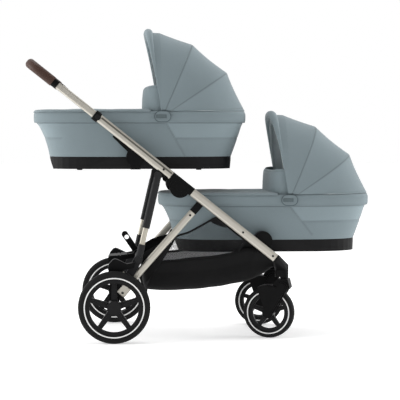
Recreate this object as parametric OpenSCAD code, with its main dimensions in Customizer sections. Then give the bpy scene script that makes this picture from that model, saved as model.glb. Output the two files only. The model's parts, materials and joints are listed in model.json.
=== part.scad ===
// Twin pram: two carrycots, one behind and above the other, on a folding four-wheel frame.
// Axes: +X is forward, +Y is the pram's left and +Z is up. The origin lies on the ground, in the
// middle of the pram's length and width. Each side piece is drawn on the left and mirrored.

/* [Rails] */
// Slope of the two main rails
rail_angle = 38.5; // [37:0.5:40]
// Lower end of the rails, forward of the rear axle
rail_foot_x = 643; // [625:1:660]
// Height of the lower end of the rails
rail_foot_z = 329.5; // [320:0.5:340]
// Gap between a carrycot's rim and each rail
rail_gap = 26; // [25:0.5:30]
// Depth of the rail tubes, seen from the side
rail_d = 34; // [31:0.5:37]
// Width of the rail tubes, seen from above
rail_w = 20; // [18:0.5:22]
// Wall of the rail, handle and leg tubes
tube_wall = 2; // [1.5:0.1:2.4]
// Width of the shallow groove along the upper rail
groove_w = 8; // [5:0.5:9]

/* [Handle] */
// Distance along the rail from its foot to the middle of the push bar
handle_s = 1241.5; // [1215:0.5:1270]
// Thickness of the grip, seen from the side
grip_d = 40; // [36:0.5:46]
// Width of the grip, seen from above
grip_w = 34; // [28:0.5:40]
// Length of grip down each side of the handle
grip_leg = 117; // [100:1:140]
// Length of the sleeve at each end of the grip
grip_end = 23; // [15:1:35]
// Radius of the two bends of the handle
bend_r = 55; // [40:1:75]
// Distance along the rail from its foot to the push buttons
button_s = 903; // [885:1:920]
// Diameter of the push buttons
button_d = 20; // [16:0.5:24]
// How far a push button goes in
button_travel = 2.2; // [1:0.1:2.5]
// Length of handle tube held inside each rail
handle_hold = 180; // [150:1:200]

/* [Hinge] */
// Distance along the rail from its foot to the fold pivot
hinge_s = 474.5; // [465:0.5:484]
// How far the fold pivot lies below the middle of the rail
hinge_drop = 16; // [12:0.5:20]
// Radius of the round hinge housing
hinge_r = 41; // [38:0.5:43]
// Distance along the rail from the pivot to the upper rail
hinge_up = 56.5; // [54:0.5:64]
// Distance along the rail from the pivot to the lower rail
hinge_down = 50; // [49:0.5:58]
// Diameter of the fold pins
hinge_pin_d = 12; // [8:0.5:14]

/* [Rear legs] */
// Distance along the rail from its foot to the pivot of the rear legs
leg_pivot_s = 369; // [355:1:380]
// Lower end of a rear leg, forward of the axle
leg_foot_x = 25; // [15:1:35]
// Lower end of a rear leg, above the axle
leg_foot_rise = 46.5; // [40:0.5:55]
// Depth of the rear leg tubes, seen from the side
leg_d = 29; // [26:0.5:31]
// Width of the rear leg tubes, seen from above
leg_w = 18; // [16:0.5:19]
// Length of the black fitting between the leg's pivot and its tube
leg_cap = 62; // [50:1:75]
// Diameter of the leg pivot pins
leg_pin_d = 12; // [8:0.5:14]
// Diameter of the rear cross tube
cross_d = 26; // [22:0.5:28]

/* [Struts] */
// Distance along the rail from its foot to the upper strut pivot
strut_s = 573; // [566:1:590]
// How far the upper strut pivot lies below the middle of the rail
strut_drop = 33; // [33:0.5:40]
// Lower strut pivot, forward of the rear axle
strut_foot_x = 97.4; // [92:0.2:104]
// Height of the lower strut pivot
strut_foot_z = 328.7; // [322:0.1:336]
// Depth of the strut's sleeve, seen from the side
strut_d = 30; // [26:0.5:32]
// Length of the strut's sleeve below its pivot
sleeve_len = 214; // [190:1:230]
// Length of rod that shows between the sleeve and the foot
rod_show = 67; // [50:1:80]
// Depth of the strut's rod, seen from the side
rod_d = 22; // [18:0.5:24]
// Diameter of the upper strut pins
strut_pin_d = 10; // [7:0.5:11]

/* [Wheels] */
// Radius of the rear wheels
rear_r = 142.5; // [138:0.5:147]
// Width of the rear tyres
rear_w = 46; // [40:1:48]
// Middle of a rear wheel, outward of the rail's middle
wheel_out = 50; // [49:0.5:56]
// Radius of the front wheels
front_r = 103.5; // [100:0.5:104]
// Width of the front tyres
front_w = 40; // [34:1:42]
// Number of spokes of a wheel
spokes = 5; // [4:1:7]
// Diameter of the wheel axles
axle_d = 12; // [8:0.5:14]
// Swivel axis of the casters, forward of the rear axle
swivel_x = 685; // [680:1:692]
// Swivel axis of a caster, inward of the rail's middle
swivel_in = 53; // [48:0.5:57]
// How far a front wheel trails behind its swivel axis
caster_trail = 62; // [55:1:66]
// Turn of the right caster
caster_turn_right = -18; // [-25:1:25]
// Turn of the left caster
caster_turn_left = -8; // [-15:1:15]
// Diameter of the swivel stems
stem_d = 18; // [14:0.5:20]

/* [Carrycots] */
// Length of a carrycot over its padded rim
cot_len = 868; // [850:1:880]
// Width of a carrycot over its padded rim
cot_w = 418; // [400:1:420]
// Height of the rim's top above the carrycot's bottom
rim_top = 232; // [225:1:240]
// Height of the padded rim band
rim_h = 47; // [40:1:55]
// Height of the hard base tray
base_h = 49; // [44:1:54]
// Thickness of the padded wall
cot_wall = 9; // [6:0.5:11]
// Middle of the upper carrycot, forward of the rear axle
upper_x = 107; // [100:1:115]
// Bottom of the upper carrycot above the ground
upper_z = 684; // [680:1:700]
// Lower carrycot, forward of the upper one
lower_dx = 509; // [500:1:520]
// Gap between the front cross tube and the lower carrycot's bottom
lower_clear = 48; // [44:1:54]
// Radius of the side connectors
connector_r = 37; // [33:0.5:40]
// Connectors, forward of the carrycot's middle
connector_x = -21; // [-30:1:-12]
// Thickness of the mattress
mattress_h = 38; // [25:1:45]

/* [Hoods] */
// Hood pivot, forward of the carrycot's middle
hood_x = 88; // [80:1:96]
// Hood pivot, above the carrycot's bottom
hood_z = 210; // [206:1:214]
// Reach of the hood's front edge
hood_front_r = 349; // [330:1:360]
// Angle of the hood's front edge
hood_front_a = 102; // [95:1:108]
// Reach of the middle bow's seam
hood_mid_r = 320; // [308:1:330]
// Angle of the middle bow's seam
hood_mid_a = 66.8; // [62:0.2:70]
// Reach of the rear seam
hood_rear_r = 323; // [310:1:335]
// Angle of the rear seam
hood_rear_a = 33.8; // [30:0.2:37]
// Height of the roll along the hood's front edge
hood_roll = 17; // [10:0.5:20]
// Thickness of the hood's cloth
hood_t = 4; // [3:0.5:6]
// Height of the wind flap above the rim
flap_h = 104; // [80:1:120]
// Diameter of the hood pins
hood_pin_d = 10; // [8:0.5:12]

/* [Basket] */
// Gap between the basket's side and each rail
basket_gap = 25; // [24:0.5:34]
// Lowest point of the basket
basket_z = 200; // [195:1:210]
// Thickness of the basket's cloth
basket_t = 3; // [2:0.5:4]

/* [Fits] */
// Radial clearance of a turning pin
pin_fit = 0.05; // [0.02:0.01:0.1]
// Gap between pieces that slide or lie against each other
slide_gap = 0.3; // [0.2:0.05:0.4]

/* [Hidden] */
$fn = 48;

tube_colour = "#b9b2a4";
black_colour = "#1d1d1f";
grey_colour = "#45454a";
leather_colour = "#4a3228";
cloth_colour = "#7f9097";
cream_colour = "#cfc8b8";
steel_colour = "#8b8d90";

// Layers across the width, measured out from the middle of the pram
cot_half = cot_w / 2;
rail_in = cot_half + rail_gap;
rail_y = rail_in + rail_w / 2;
rear_track = 2 * (rail_y + wheel_out);
swivel_y = rail_y - swivel_in;
basket_w = 2 * (rail_in - basket_gap);
leg_y = rail_in - 2 - leg_w / 2;
leg_in = leg_y - leg_w / 2;
leg_out = leg_y + leg_w / 2;
lug_out = rail_in - slide_gap;
adapter_in = cot_half + 15.6;
tongue_y = cot_half + 8;
tongue_t = 4.2;
tongue_w = 30;

// Points seen from the side: forward of the rear axle, above the ground
function rail(s, n = 0) = [rail_foot_x - s * cos(rail_angle) + n * sin(rail_angle),
    rail_foot_z + s * sin(rail_angle) + n * cos(rail_angle)];
hinge_p = rail(hinge_s, -hinge_drop);
leg_p = rail(leg_pivot_s);
leg_foot = [leg_foot_x, rear_r + leg_foot_rise];
strut_top = rail(strut_s, -strut_drop);
strut_foot = [strut_foot_x, strut_foot_z];
leg_len = norm(leg_foot - leg_p);
leg_tilt = atan2(leg_p[1] - leg_foot[1], leg_foot[0] - leg_p[0]);
strut_len = norm(strut_foot - strut_top);
strut_tilt = atan2(strut_top[1] - strut_foot[1], strut_foot[0] - strut_top[0]);
front_cross_p = [swivel_x - 17, rail_foot_z - 39.5];
front_cross_d = 22;
upper_p = [upper_x, upper_z];
lower_p = [upper_x + lower_dx, front_cross_p[1] + front_cross_d / 2 + lower_clear];

// The middle of the pram's length is the middle between its grip and its front carrycot rim
grip_back = rail(handle_s)[0] - grip_w / 2 - (grip_d - grip_w) / 2 * sin(rail_angle);
rim_front = lower_p[0] + cot_len / 2;
x_mid = (grip_back + rim_front) / 2;

// Hinge
hinge_layer = 2;
hinge_plug = 30;
plug_gap = 0.2;
hinge_cap_r = 17;

// Handle tube, which slides in the rail
handle_d = rail_d - 2 * tube_wall - 2 * slide_gap;
handle_w = rail_w - 2 * tube_wall - 2 * slide_gap;
rail_top_s = button_s - 3;
collar_wall = 4;
boss_out = rail_w / 2 + 9;
button_floor = rail_w / 2 + 1.2;

// Casters
fork_gap = front_w / 2 + 5;
fork_t = 9;
guard_r = front_r + 5;
crown_z = 2 * front_r + 10;
knee_z = 249;
knee_r = 17;
knee_back = 20;
knee_h = 48;

// Hood curves: bows lie inside the cloth
bow_t = 6;
bow_w = 10;
front_bow_y = cot_half - 18.5;
mid_bow_y = front_bow_y - bow_t - 1.5;
hood_half = cot_half - 3;
hood_p = 2.7;
hood_gap = 0.6;
hood_n = 24;

// Places a piece by a side point, a distance from the middle and a tilt
module place(p, y = 0, tilt = 0) {
    translate([p[0] - x_mid, y, p[1]])
        rotate([0, tilt, 0])
            children();
}

module right() {
    mirror([0, 1, 0])
        children();
}

module both() {
    children();
    mirror([0, 1, 0])
        children();
}

// Oval section: depth along its first axis, width along its second
module oval(d, w) {
    square([d - w, w], center = true);
    for (side = [-1, 1])
        translate([side * (d - w) / 2, 0])
            circle(d = w);
}

// Oval bar along X
module oval_bar(x1, x2, d, w) {
    translate([x1, 0, 0])
        rotate([0, 90, 0])
            linear_extrude(x2 - x1)
                oval(d, w);
}

// Oval tube along X, open at both ends
module oval_tube(x1, x2, d, w, wall) {
    difference() {
        oval_bar(x1, x2, d, w);
        oval_bar(x1 - 1, x2 + 1, d - 2 * wall, w - 2 * wall);
    }
}

// Plate drawn in X and Z and thickened from y1 to y2
module slab(y1, y2) {
    translate([0, y2, 0])
        rotate([90, 0, 0])
            linear_extrude(y2 - y1)
                children();
}

// Round bar along Y
module pin(d, y1, y2) {
    translate([0, y1, 0])
        rotate([-90, 0, 0])
            cylinder(d = d, h = y2 - y1);
}

// Flat link with round ends, a little prouder than its sides, between two points
module link(p, q, r) {
    d = q - p;
    side = r - 0.4;
    translate(p)
        circle(r);
    translate(q)
        circle(r);
    translate(p)
        rotate(atan2(d[1], d[0]))
            translate([0, -side])
                square([norm(d), 2 * side]);
}

// Closed skin through rings of points; the last ring joins the first
module closed_loft(rings) {
    n = len(rings[0]);
    m = len(rings);
    polyhedron(points = [for (ring = rings) each ring],
        faces = [for (k = [0 : m - 1], i = [0 : n - 1], half = [0, 1])
            let (a = k * n, b = ((k + 1) % m) * n, j = (i + 1) % n)
            half == 0 ? [a + i, b + i, b + j] : [a + i, b + j, a + j]]);
}

// Closed skin through rings of points with a fan over each end
module capped_loft(rings) {
    n = len(rings[0]);
    m = len(rings);
    mean = function (ring) [for (c = [0 : 2]) [for (p = ring) p[c]] * [for (p = ring) 1] / n];
    polyhedron(points = [for (ring = rings) each ring, mean(rings[0]), mean(rings[m - 1])],
        faces = concat(
            [for (k = [0 : m - 2], i = [0 : n - 1], half = [0, 1])
                let (a = k * n, b = (k + 1) * n, j = (i + 1) % n)
                half == 0 ? [a + i, b + i, b + j] : [a + i, b + j, a + j]],
            [for (i = [0 : n - 1]) [(i + 1) % n, m * n, i]],
            [for (i = [0 : n - 1]) [(m - 1) * n + i, m * n + 1, (m - 1) * n + (i + 1) % n]]));
}

// Sheet between two grids of points, with walls round its edge
module sheet(top, bottom) {
    m = len(top);
    n = len(top[0]);
    low = m * n;
    quad = function (a, b, c, d) [[a, b, c], [a, c, d]];
    polyhedron(points = [for (row = concat(top, bottom)) each row], faces = concat(
        [for (i = [0 : m - 2], j = [0 : n - 2])
            let (a = i * n + j) each quad(a, a + n, a + n + 1, a + 1)],
        [for (i = [0 : m - 2], j = [0 : n - 2])
            let (a = low + i * n + j) each quad(a + 1, a + n + 1, a + n, a)],
        [for (i = [0 : m - 2])
            let (a = i * n) each quad(a + n, a, low + a, low + a + n)],
        [for (i = [0 : m - 2])
            let (a = i * n + n - 1) each quad(a, a + n, low + a + n, low + a)],
        [for (j = [0 : n - 2])
            let (a = low - n + j) each quad(a + 1, a, low + a, low + a + 1)],
        [for (j = [0 : n - 2]) each quad(j, j + 1, low + j + 1, low + j)]));
}

function power(v, p) = sign(v) * pow(abs(v), p);

// Plan outline of a carrycot between its foot end and its head end
plan_p = 3.4;
plan_n = 44;
function plan(foot, head, half) = [for (i = [0 : plan_n - 1])
    let (t = 360 * i / plan_n)
    [(foot + head) / 2 + (head - foot) / 2 * power(cos(t), 2 / plan_p),
        half * power(sin(t), 2 / plan_p)]];
function plan_ring(foot, head, half, z) = [for (p = plan(foot, head, half)) [p[0], p[1], z]];

// Front frame
module front_leg() {
    place(rail(0), rail_y, rail_angle)
        difference() {
            oval_tube(-(hinge_s - hinge_down), 0, rail_d, rail_w, tube_wall);
            translate([-leg_pivot_s, 0, 0])
                pin(leg_pin_d + 2 * pin_fit, -rail_w, 0);
        }
}

module front_knee() {
    difference() {
        union() {
            hull() {
                place(rail(0), rail_y, rail_angle)
                    oval_bar(0, 8, rail_d + 1, rail_w + 1, $fn = 32);
                for (back = [0, knee_back])
                    place([swivel_x - back, knee_z + 26], swivel_y)
                        cylinder(r = knee_r - 0.5, h = knee_h - 26, $fn = 32);
            }
            place([swivel_x - knee_back / 2, knee_z], swivel_y)
                linear_extrude(knee_h - 0.4)
                    oval(2 * knee_r + knee_back, 2 * knee_r);
            place(rail(0), rail_y, rail_angle)
                oval_bar(-hinge_plug, 1, rail_d - 2 * tube_wall - 2 * plug_gap,
                    rail_w - 2 * tube_wall - 2 * plug_gap);
        }
        place([swivel_x, knee_z - 1], swivel_y)
            cylinder(d = stem_d + 2 * pin_fit, h = 40);
    }
}

module front_cross_tube() {
    color(black_colour)
        place(front_cross_p)
            difference() {
                pin(front_cross_d, knee_r - swivel_y + slide_gap, swivel_y - knee_r - slide_gap);
                pin(front_cross_d - 2 * tube_wall, -swivel_y, swivel_y);
            }
}

module rail_band(x1, x2) {
    translate([x1, hinge_drop - rail_d / 2])
        square([x2 - x1, rail_d]);
}

// Round hinge housing, level with the rail's upper line
module hinge_disc(r) {
    intersection() {
        circle(r);
        translate([-2 * r, -2 * r])
            square([4 * r, 2 * r + hinge_drop + rail_d / 2 - 0.4]);
    }
}

// Outer half of the fold hinge, fixed to the lower rail
module hinge_base() {
    outer = rail_w / 2 + 1;
    inner = -rail_w / 2;
    stop = hinge_r + 1;
    place(hinge_p, rail_y, rail_angle) {
        difference() {
            union() {
                slab(hinge_layer - 1.5, outer) {
                    hinge_disc(hinge_r);
                    rail_band(2.5 - hinge_up, hinge_down);
                }
                slab(inner, outer)
                    rail_band(stop, hinge_down);
                pin(hinge_pin_d, inner - 3, 2);
                pin(28, inner - 3, inner - slide_gap);
            }
            slab(outer - 0.8, outer + 1)
                difference() {
                    circle(hinge_r - 9.5);
                    circle(hinge_r - 11);
                }
        }
        translate([0, outer, 0])
            rotate([-90, 0, 0])
                cylinder(r1 = hinge_cap_r, r2 = hinge_cap_r - 1.5, h = 2);
        translate([0, 0, hinge_drop])
            oval_bar(hinge_down, hinge_down + hinge_plug, rail_d - 2 * tube_wall - 2 * plug_gap,
                rail_w - 2 * tube_wall - 2 * plug_gap);
    }
}

// Inner half of the fold hinge, fixed to the upper rail
module hinge_head() {
    inner = -rail_w / 2;
    lobe_r = 15;
    lobe_x = 2.5 - hinge_up + 11;
    place(hinge_p, rail_y, rail_angle)
        difference() {
            union() {
                slab(inner, hinge_layer - 1.8) {
                    hinge_disc(hinge_r - 2);
                    rail_band(-hinge_up, -6);
                    translate([lobe_x, -9])
                        circle(lobe_r);
                }
                slab(hinge_layer - 2, rail_w / 2 - 1)
                    difference() {
                        translate([lobe_x, -9])
                            circle(lobe_r);
                        circle(hinge_r + 0.6);
                        rail_band(-2 * hinge_up, 0);
                    }
                translate([0, 0, hinge_drop])
                    oval_bar(-hinge_up - hinge_plug, -hinge_up, rail_d - 2 * tube_wall - 2 * plug_gap,
                        rail_w - 2 * tube_wall - 2 * plug_gap);
            }
            pin(hinge_pin_d + 2 * pin_fit, -rail_w, rail_w);
        }
}

// Screw heads on the lower rails and the pins that carry the rear legs
module frame_screws() {
    color(steel_colour)
        both() {
            for (s = [14, 167])
                place(rail(s), rail_y + rail_w / 2)
                    pin(9, 0, 1.2);
            place(leg_p) {
                pin(leg_pin_d, leg_in - 3, rail_in + tube_wall + 2);
                pin(leg_pin_d + 4, rail_in + tube_wall, rail_in + tube_wall + 3);
                pin(leg_pin_d + 9, leg_in - 3, leg_in - slide_gap);
            }
        }
}

// Basket: cloth tub with a rear flap at each side, open at the top
module basket_outline() {
    back = strut_foot_x + cross_d / 2 + slide_gap;
    front = front_cross_p[0] - front_cross_d / 2 - slide_gap;
    polygon([[back, strut_foot_z], [back + 9, strut_foot_z + 16], [back + 59, strut_foot_z + 45],
        [226, basket_z + 188], [176, basket_z + 118], [342, basket_z + 130],
        [487, basket_z + 153], [572, basket_z + 168], [front, front_cross_p[1] + 6],
        [front, front_cross_p[1] - 6], [600, basket_z + 69], [523, basket_z + 34],
        [382, basket_z + 13], [270, basket_z + 3], [131, basket_z]]);
}

module basket_room() {
    t = basket_t;
    polygon([[0, 600], [0, basket_z + 100], [133 - t, basket_z + 100], [132 + t, basket_z + t],
        [270, basket_z + 3 + t], [382, basket_z + 13 + t], [523, basket_z + 34 + t],
        [599, basket_z + 69 + t], [650 - t, front_cross_p[1] + 4], [700, front_cross_p[1] + 4],
        [700, 600]]);
}

// The basket narrows between the knees, seen from above
module basket_plan(inset) {
    half = basket_w / 2 - inset;
    nose = swivel_y - knee_r - 3 - inset;
    nose_x = swivel_x - knee_back - 20;
    turn_x = nose_x - 45;
    linear_extrude(600)
        polygon([[0, -half], [turn_x, -half], [nose_x, -nose], [800, -nose],
            [800, nose], [nose_x, nose], [turn_x, half], [0, half]]);
}

module basket() {
    color(black_colour)
        translate([-x_mid, 0, 0])
            difference() {
                intersection() {
                    slab(-basket_w, basket_w)
                        basket_outline();
                    basket_plan(0);
                }
                intersection() {
                    slab(-basket_w, basket_w)
                        basket_room();
                    basket_plan(basket_t);
                }
            }
}

// Mesh side panels above the basket's band, hemmed to the lower rails
module basket_mesh() {
    half = basket_w / 2;
    hem_low = 130;
    hem_high = 300;
    hem_n = -rail_d / 2 - 1;
    hem_y = half - basket_t + 1.2;
    low = rail(hem_low + 4, hem_n);
    high = rail(hem_high - 4, hem_n);
    color(grey_colour)
        both() {
            translate([-x_mid, 0, 0])
                slab(half - basket_t + 0.5, half - 0.5)
                    polygon([[179, basket_z + 119], [238, basket_z + 195], high, low,
                        [487, basket_z + 154], [342, basket_z + 131]]);
            place(rail(0), 0, rail_angle)
                translate([-hem_high, hem_y, hem_n - 2])
                    cube([hem_high - hem_low, rail_in - slide_gap - hem_y, 4]);
        }
}

// Upper frame
module upper_rail() {
    groove_t = 0.8;
    place(rail(0), rail_y, rail_angle)
        difference() {
            oval_tube(-rail_top_s, -(hinge_s + hinge_up), rail_d, rail_w, tube_wall);
            translate([-rail_top_s - 1, rail_w / 2 - groove_t, 3])
                cube([rail_top_s, groove_t + 1, groove_w]);
        }
}

// Collar that guides the handle tube and holds a push button
module rail_collar() {
    back = 16;
    front = 9;
    boss_r = button_d / 2 + 4;
    place(rail(button_s), rail_y, rail_angle)
        difference() {
            union() {
                oval_bar(-back, front, rail_d + 2 * collar_wall, rail_w + 2 * collar_wall);
                pin(2 * boss_r, 0, boss_out);
            }
            oval_bar(button_s - rail_top_s, boss_r + 1, rail_d + 0.1, rail_w + 0.1);
            oval_bar(-back - 1, boss_r + 1, handle_d + 2 * slide_gap, handle_w + 2 * slide_gap);
            pin(button_d + 2 * pin_fit, button_floor, boss_out + 1);
        }
}

module push_button() {
    seat = button_floor + button_travel + 0.1;
    place(rail(button_s), rail_y, rail_angle) {
        pin(button_d, seat, boss_out);
        translate([0, boss_out, 0])
            rotate([-90, 0, 0])
                cylinder(d1 = button_d, d2 = button_d - 3, h = 1.2);
    }
}

// Saddles under the upper rails that carry the struts
module strut_brackets() {
    under = strut_drop - rail_d / 2;
    color(black_colour)
        both() {
            place(strut_top, rail_y, rail_angle)
                difference() {
                    union() {
                        slab(-4, 4) {
                            circle(11);
                            polygon([[-11, 0], [-14, under + 3], [34, under + 3], [9, -6]]);
                        }
                        slab(-7, 7)
                            translate([-15, under - 1])
                                square([51, 8]);
                    }
                    translate([0, 0, strut_drop])
                        oval_bar(-60, 60, rail_d, rail_w);
                    pin(strut_pin_d + 2 * pin_fit, -rail_w, rail_w);
                }
            place(rail(strut_s - 3), rail_y + rail_w / 2)
                pin(9, 0, 1.2);
        }
}

// Handle: one tube bent into a U
module handle_path(d, w, leg_end) {
    corner_s = handle_s - bend_r;
    corner_y = rail_y - bend_r;
    for (side = [0, 1])
        mirror([0, side, 0]) {
            translate([0, rail_y, 0])
                oval_bar(-corner_s, -leg_end, d, w);
            translate([-corner_s, corner_y, 0])
                rotate([0, 0, 90])
                    rotate_extrude(angle = 90)
                        translate([bend_r, 0])
                            rotate(90)
                                oval(d, w);
        }
    translate([-handle_s, corner_y, 0])
        rotate([90, 0, 0])
            linear_extrude(2 * corner_y)
                rotate(90)
                    oval(d, w);
}

module handle_bar() {
    low = button_s - handle_hold;
    color(tube_colour)
        place(rail(0), 0, rail_angle)
            difference() {
                handle_path(handle_d, handle_w, low);
                for (side = [-1, 1])
                    translate([0, side * rail_y, 0])
                        oval_bar(-button_s, 1 - low, handle_d - 2 * tube_wall, handle_w - 2 * tube_wall);
            }
}

module handle_grip() {
    low = handle_s - grip_leg;
    color(leather_colour)
        place(rail(0), 0, rail_angle)
            difference() {
                handle_path(grip_d, grip_w, low);
                handle_path(handle_d + 2 * plug_gap, handle_w + 2 * plug_gap, low - 1);
            }
}

module grip_ends() {
    low = handle_s - grip_leg;
    color(black_colour)
        both()
            place(rail(low), rail_y, rail_angle)
                difference() {
                    union() {
                        oval_bar(slide_gap, grip_end, grip_d - 5, grip_w - 8);
                        translate([grip_end - 1, -5, handle_d / 2 - 3])
                            cube([17, 10, 4.5]);
                    }
                    oval_bar(-1, grip_end + 20, handle_d + 2 * plug_gap, handle_w + 2 * plug_gap);
                }
}

// Rear legs, drawn along X from their pivot
module on_leg() {
    place(leg_p, leg_y, leg_tilt)
        children();
}

module rear_leg() {
    on_leg()
        oval_tube(leg_cap, leg_len, leg_d, leg_w, tube_wall);
}

// Fittings that join the rear legs to their pivots
module leg_tops() {
    eye_r = 16;
    color(black_colour)
        both() {
            on_leg()
                difference() {
                    union() {
                        slab(-leg_w / 2, leg_w / 2) {
                            circle(eye_r);
                            translate([0, -leg_d / 2])
                                square([leg_cap, leg_d]);
                        }
                        pin(2 * eye_r - 6, 0, lug_out - leg_y);
                        oval_bar(leg_cap, leg_cap + hinge_plug, leg_d - 2 * tube_wall - 2 * plug_gap,
                            leg_w - 2 * tube_wall - 2 * plug_gap);
                    }
                    pin(leg_pin_d + 2 * pin_fit, -rail_w, rail_w);
                }
            on_leg()
                translate([leg_cap + 16, leg_w / 2, 0])
                    pin(9, 0, 1.2);
        }
}

// Knuckle that ties a leg's foot to the strut
module leg_knuckle() {
    knuckle_r = 17;
    inner = leg_in - 2;
    difference() {
        union() {
            translate([-x_mid, 0, 0])
                slab(inner, leg_out)
                    link(strut_foot, leg_foot + [-2, 4], knuckle_r);
            place(strut_foot)
                pin(2 * knuckle_r - 6, inner, lug_out);
        }
        on_leg()
            oval_bar(leg_cap, leg_len + 60, leg_d, leg_w);
    }
    on_leg()
        translate([leg_len - 12, leg_w / 2, 0])
            pin(9, 0, 1.2);
}

// Rear hub: spring housing, slotted upright and axle
module rear_hub() {
    outer = rear_track / 2 - rear_w / 2 - 9;
    post_in = outer - 20;
    low = strut_foot_z - 42;
    translate([-x_mid, 0, 0]) {
        slab(leg_out, outer)
            polygon([[-16, low - 24], [-26, low + 8], [-20, low + 25], [-6, low + 41], [4, low + 44],
                [14, low + 41], [50, low + 24], [82, low + 30], [80, low + 8], [36, low],
                [30, low - 24]]);
        difference() {
            slab(post_in, outer) {
                polygon([[-16, low + 4], [35, low + 4], [30, low - 60], [17, rear_r], [-15, rear_r],
                    [-19, low - 90]]);
                translate([0, rear_r])
                    circle(27);
            }
            slab(post_in - 1, outer + 1)
                translate([-3, rear_r + 60])
                    square([10, low - 30 - rear_r - 60]);
        }
        translate([0, 0, rear_r]) {
            pin(axle_d, outer - 4, rear_track / 2 + 14);
            pin(axle_d + 12, outer, rear_track / 2 - rear_w / 2 - 3 - slide_gap);
        }
    }
}

module rear_cross_tube() {
    color(black_colour)
        place(strut_foot)
            difference() {
                pin(cross_d, 2 - leg_in, leg_in - 2);
                pin(cross_d - 2 * tube_wall, -leg_y, leg_y);
            }
}

// Struts, drawn along X from their upper pivot
module on_strut() {
    place(strut_top, rail_y, strut_tilt)
        children();
}

module strut_sleeves() {
    half = rail_w / 2;
    socket = sleeve_len + rod_show;
    foot_r = strut_d / 2 + 1;
    color(black_colour)
        both() {
            on_strut()
                difference() {
                    union() {
                        slab(-half, half)
                            circle(15);
                        oval_bar(0, sleeve_len, strut_d, rail_w);
                    }
                    slab(-4 - slide_gap, 4 + slide_gap)
                        translate([-40, -40])
                            square([72, 80]);
                    oval_bar(sleeve_len - 34, sleeve_len + 1, rod_d + 2 * plug_gap, 14 + 2 * plug_gap);
                }
            on_strut()
                pin(strut_pin_d, -half, half);
            on_strut()
                difference() {
                    union() {
                        oval_bar(socket, strut_len, strut_d - 2, rail_w);
                        translate([strut_len, 0, 0])
                            slab(-half, half)
                                circle(foot_r);
                        translate([strut_len, 0, 0])
                            pin(2 * foot_r - 12, half, half + 1.5);
                    }
                    oval_bar(socket - 1, socket + 20, rod_d + 2 * plug_gap, 14 + 2 * plug_gap);
                }
        }
}

module strut_rods() {
    color(cream_colour)
        both()
            on_strut()
                oval_bar(sleeve_len - 33, sleeve_len + rod_show + 19, rod_d, 14);
}

// Foot brake, turning on the rear cross tube
module brake_pedal() {
    ring_r = cross_d / 2 + 7;
    pad_half = 55;
    color(black_colour)
        place(strut_foot)
            difference() {
                union() {
                    for (side = [-1, 1])
                        slab(side * 40 - 10, side * 40 + 10)
                            link([0, 0], [-52, -10], 10);
                    for (side = [-1, 1])
                        pin(2 * ring_r, side * 40 - 10, side * 40 + 10);
                    slab(-pad_half, pad_half)
                        link([-52, -10], [-112, -16], 11);
                }
                pin(cross_d + 2 * pin_fit, -rail_y, rail_y);
                for (x = [-105, -90, -75])
                    translate([x, 0, -4])
                        rotate([0, 6, 0])
                            translate([0, -pad_half - 1, 0])
                                cube([5, 2 * pad_half + 2, 8]);
            }
}

// Catch lever with its finger hole, turning on the rear cross tube
module catch_lever() {
    tip = [-54, 80];
    ring_r = cross_d / 2 + 6;
    color(black_colour)
        place(strut_foot)
            difference() {
                union() {
                    slab(-8, 8)
                        link([0, 0], tip, 13);
                    pin(2 * ring_r, -14, 14);
                }
                pin(cross_d + 2 * pin_fit, -rail_y, rail_y);
                slab(-20, 20)
                    translate(tip * 0.86)
                        circle(9.5);
            }
}

// Wheels, drawn on their axle with the outer side towards +Y
module tyre(r, rim_r, w) {
    corner = min(12, (r - rim_r) / 2 - 1);
    rotate([-90, 0, 0])
        rotate_extrude($fn = 96)
            difference() {
                union() {
                    translate([rim_r, -w / 2 + corner])
                        square([r - rim_r, w - 2 * corner]);
                    translate([rim_r, -w / 2])
                        square([r - rim_r - corner, w]);
                    for (side = [-1, 1])
                        translate([r - corner, side * (w / 2 - corner)])
                            circle(corner);
                }
                for (y = [-w / 5, 0, w / 5])
                    translate([r - 1.5, y - 1])
                        square([4, 2]);
            }
}

// Five-spoke rim; its axle hole stops short of the outer face by the cap, or goes through
module rim(r, w, hub_r, hub_w, spoke_w, cap) {
    inner = r - 14;
    difference() {
        union() {
            rotate([-90, 0, 0])
                rotate_extrude($fn = 96) {
                    translate([inner, -w / 2])
                        square([r - inner - slide_gap, w]);
                    translate([inner - 3, w / 2 - 6])
                        square([6, 6]);
                }
            pin(2 * hub_r, -hub_w / 2, hub_w / 2);
            for (i = [0 : spokes - 1])
                rotate([0, 360 * i / spokes - 90, 0]) {
                    slab(-w / 4, w / 3)
                        polygon([[hub_r - 6, -spoke_w / 2 - 3], [inner + 4, -spoke_w / 2],
                            [inner + 4, spoke_w / 2], [hub_r - 6, spoke_w / 2 + 3]]);
                    slab(-w / 3, w / 2 - 2)
                        translate([hub_r - 6, -3])
                            square([inner + 10 - hub_r, 6]);
                }
        }
        pin(axle_d + 2 * pin_fit, -hub_w, hub_w / 2 - cap);
    }
}

module rear_wheel_place() {
    place([0, rear_r], rear_track / 2)
        children();
}

module rear_tyre() {
    color(black_colour)
        rear_wheel_place()
            tyre(rear_r, rear_r - 29, rear_w);
}

module rear_rim() {
    color(grey_colour)
        rear_wheel_place()
            rim(rear_r - 29, 30, 28, rear_w + 6, 19, 4);
}

// Casters, drawn about their swivel axis with the wheel behind it
module caster_place(turn) {
    place([swivel_x, 0], swivel_y)
        rotate([0, 0, turn])
            children();
}

module front_wheel_place(turn) {
    caster_place(turn)
        translate([-caster_trail, 0, front_r])
            children();
}

module front_tyre(turn) {
    color(black_colour)
        front_wheel_place(turn)
            tyre(front_r, front_r - 22, front_w);
}

module front_rim(turn) {
    color(grey_colour)
        front_wheel_place(turn)
            rim(front_r - 22, 26, 22, 2 * fork_gap - 1, 15, -1);
}

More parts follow.
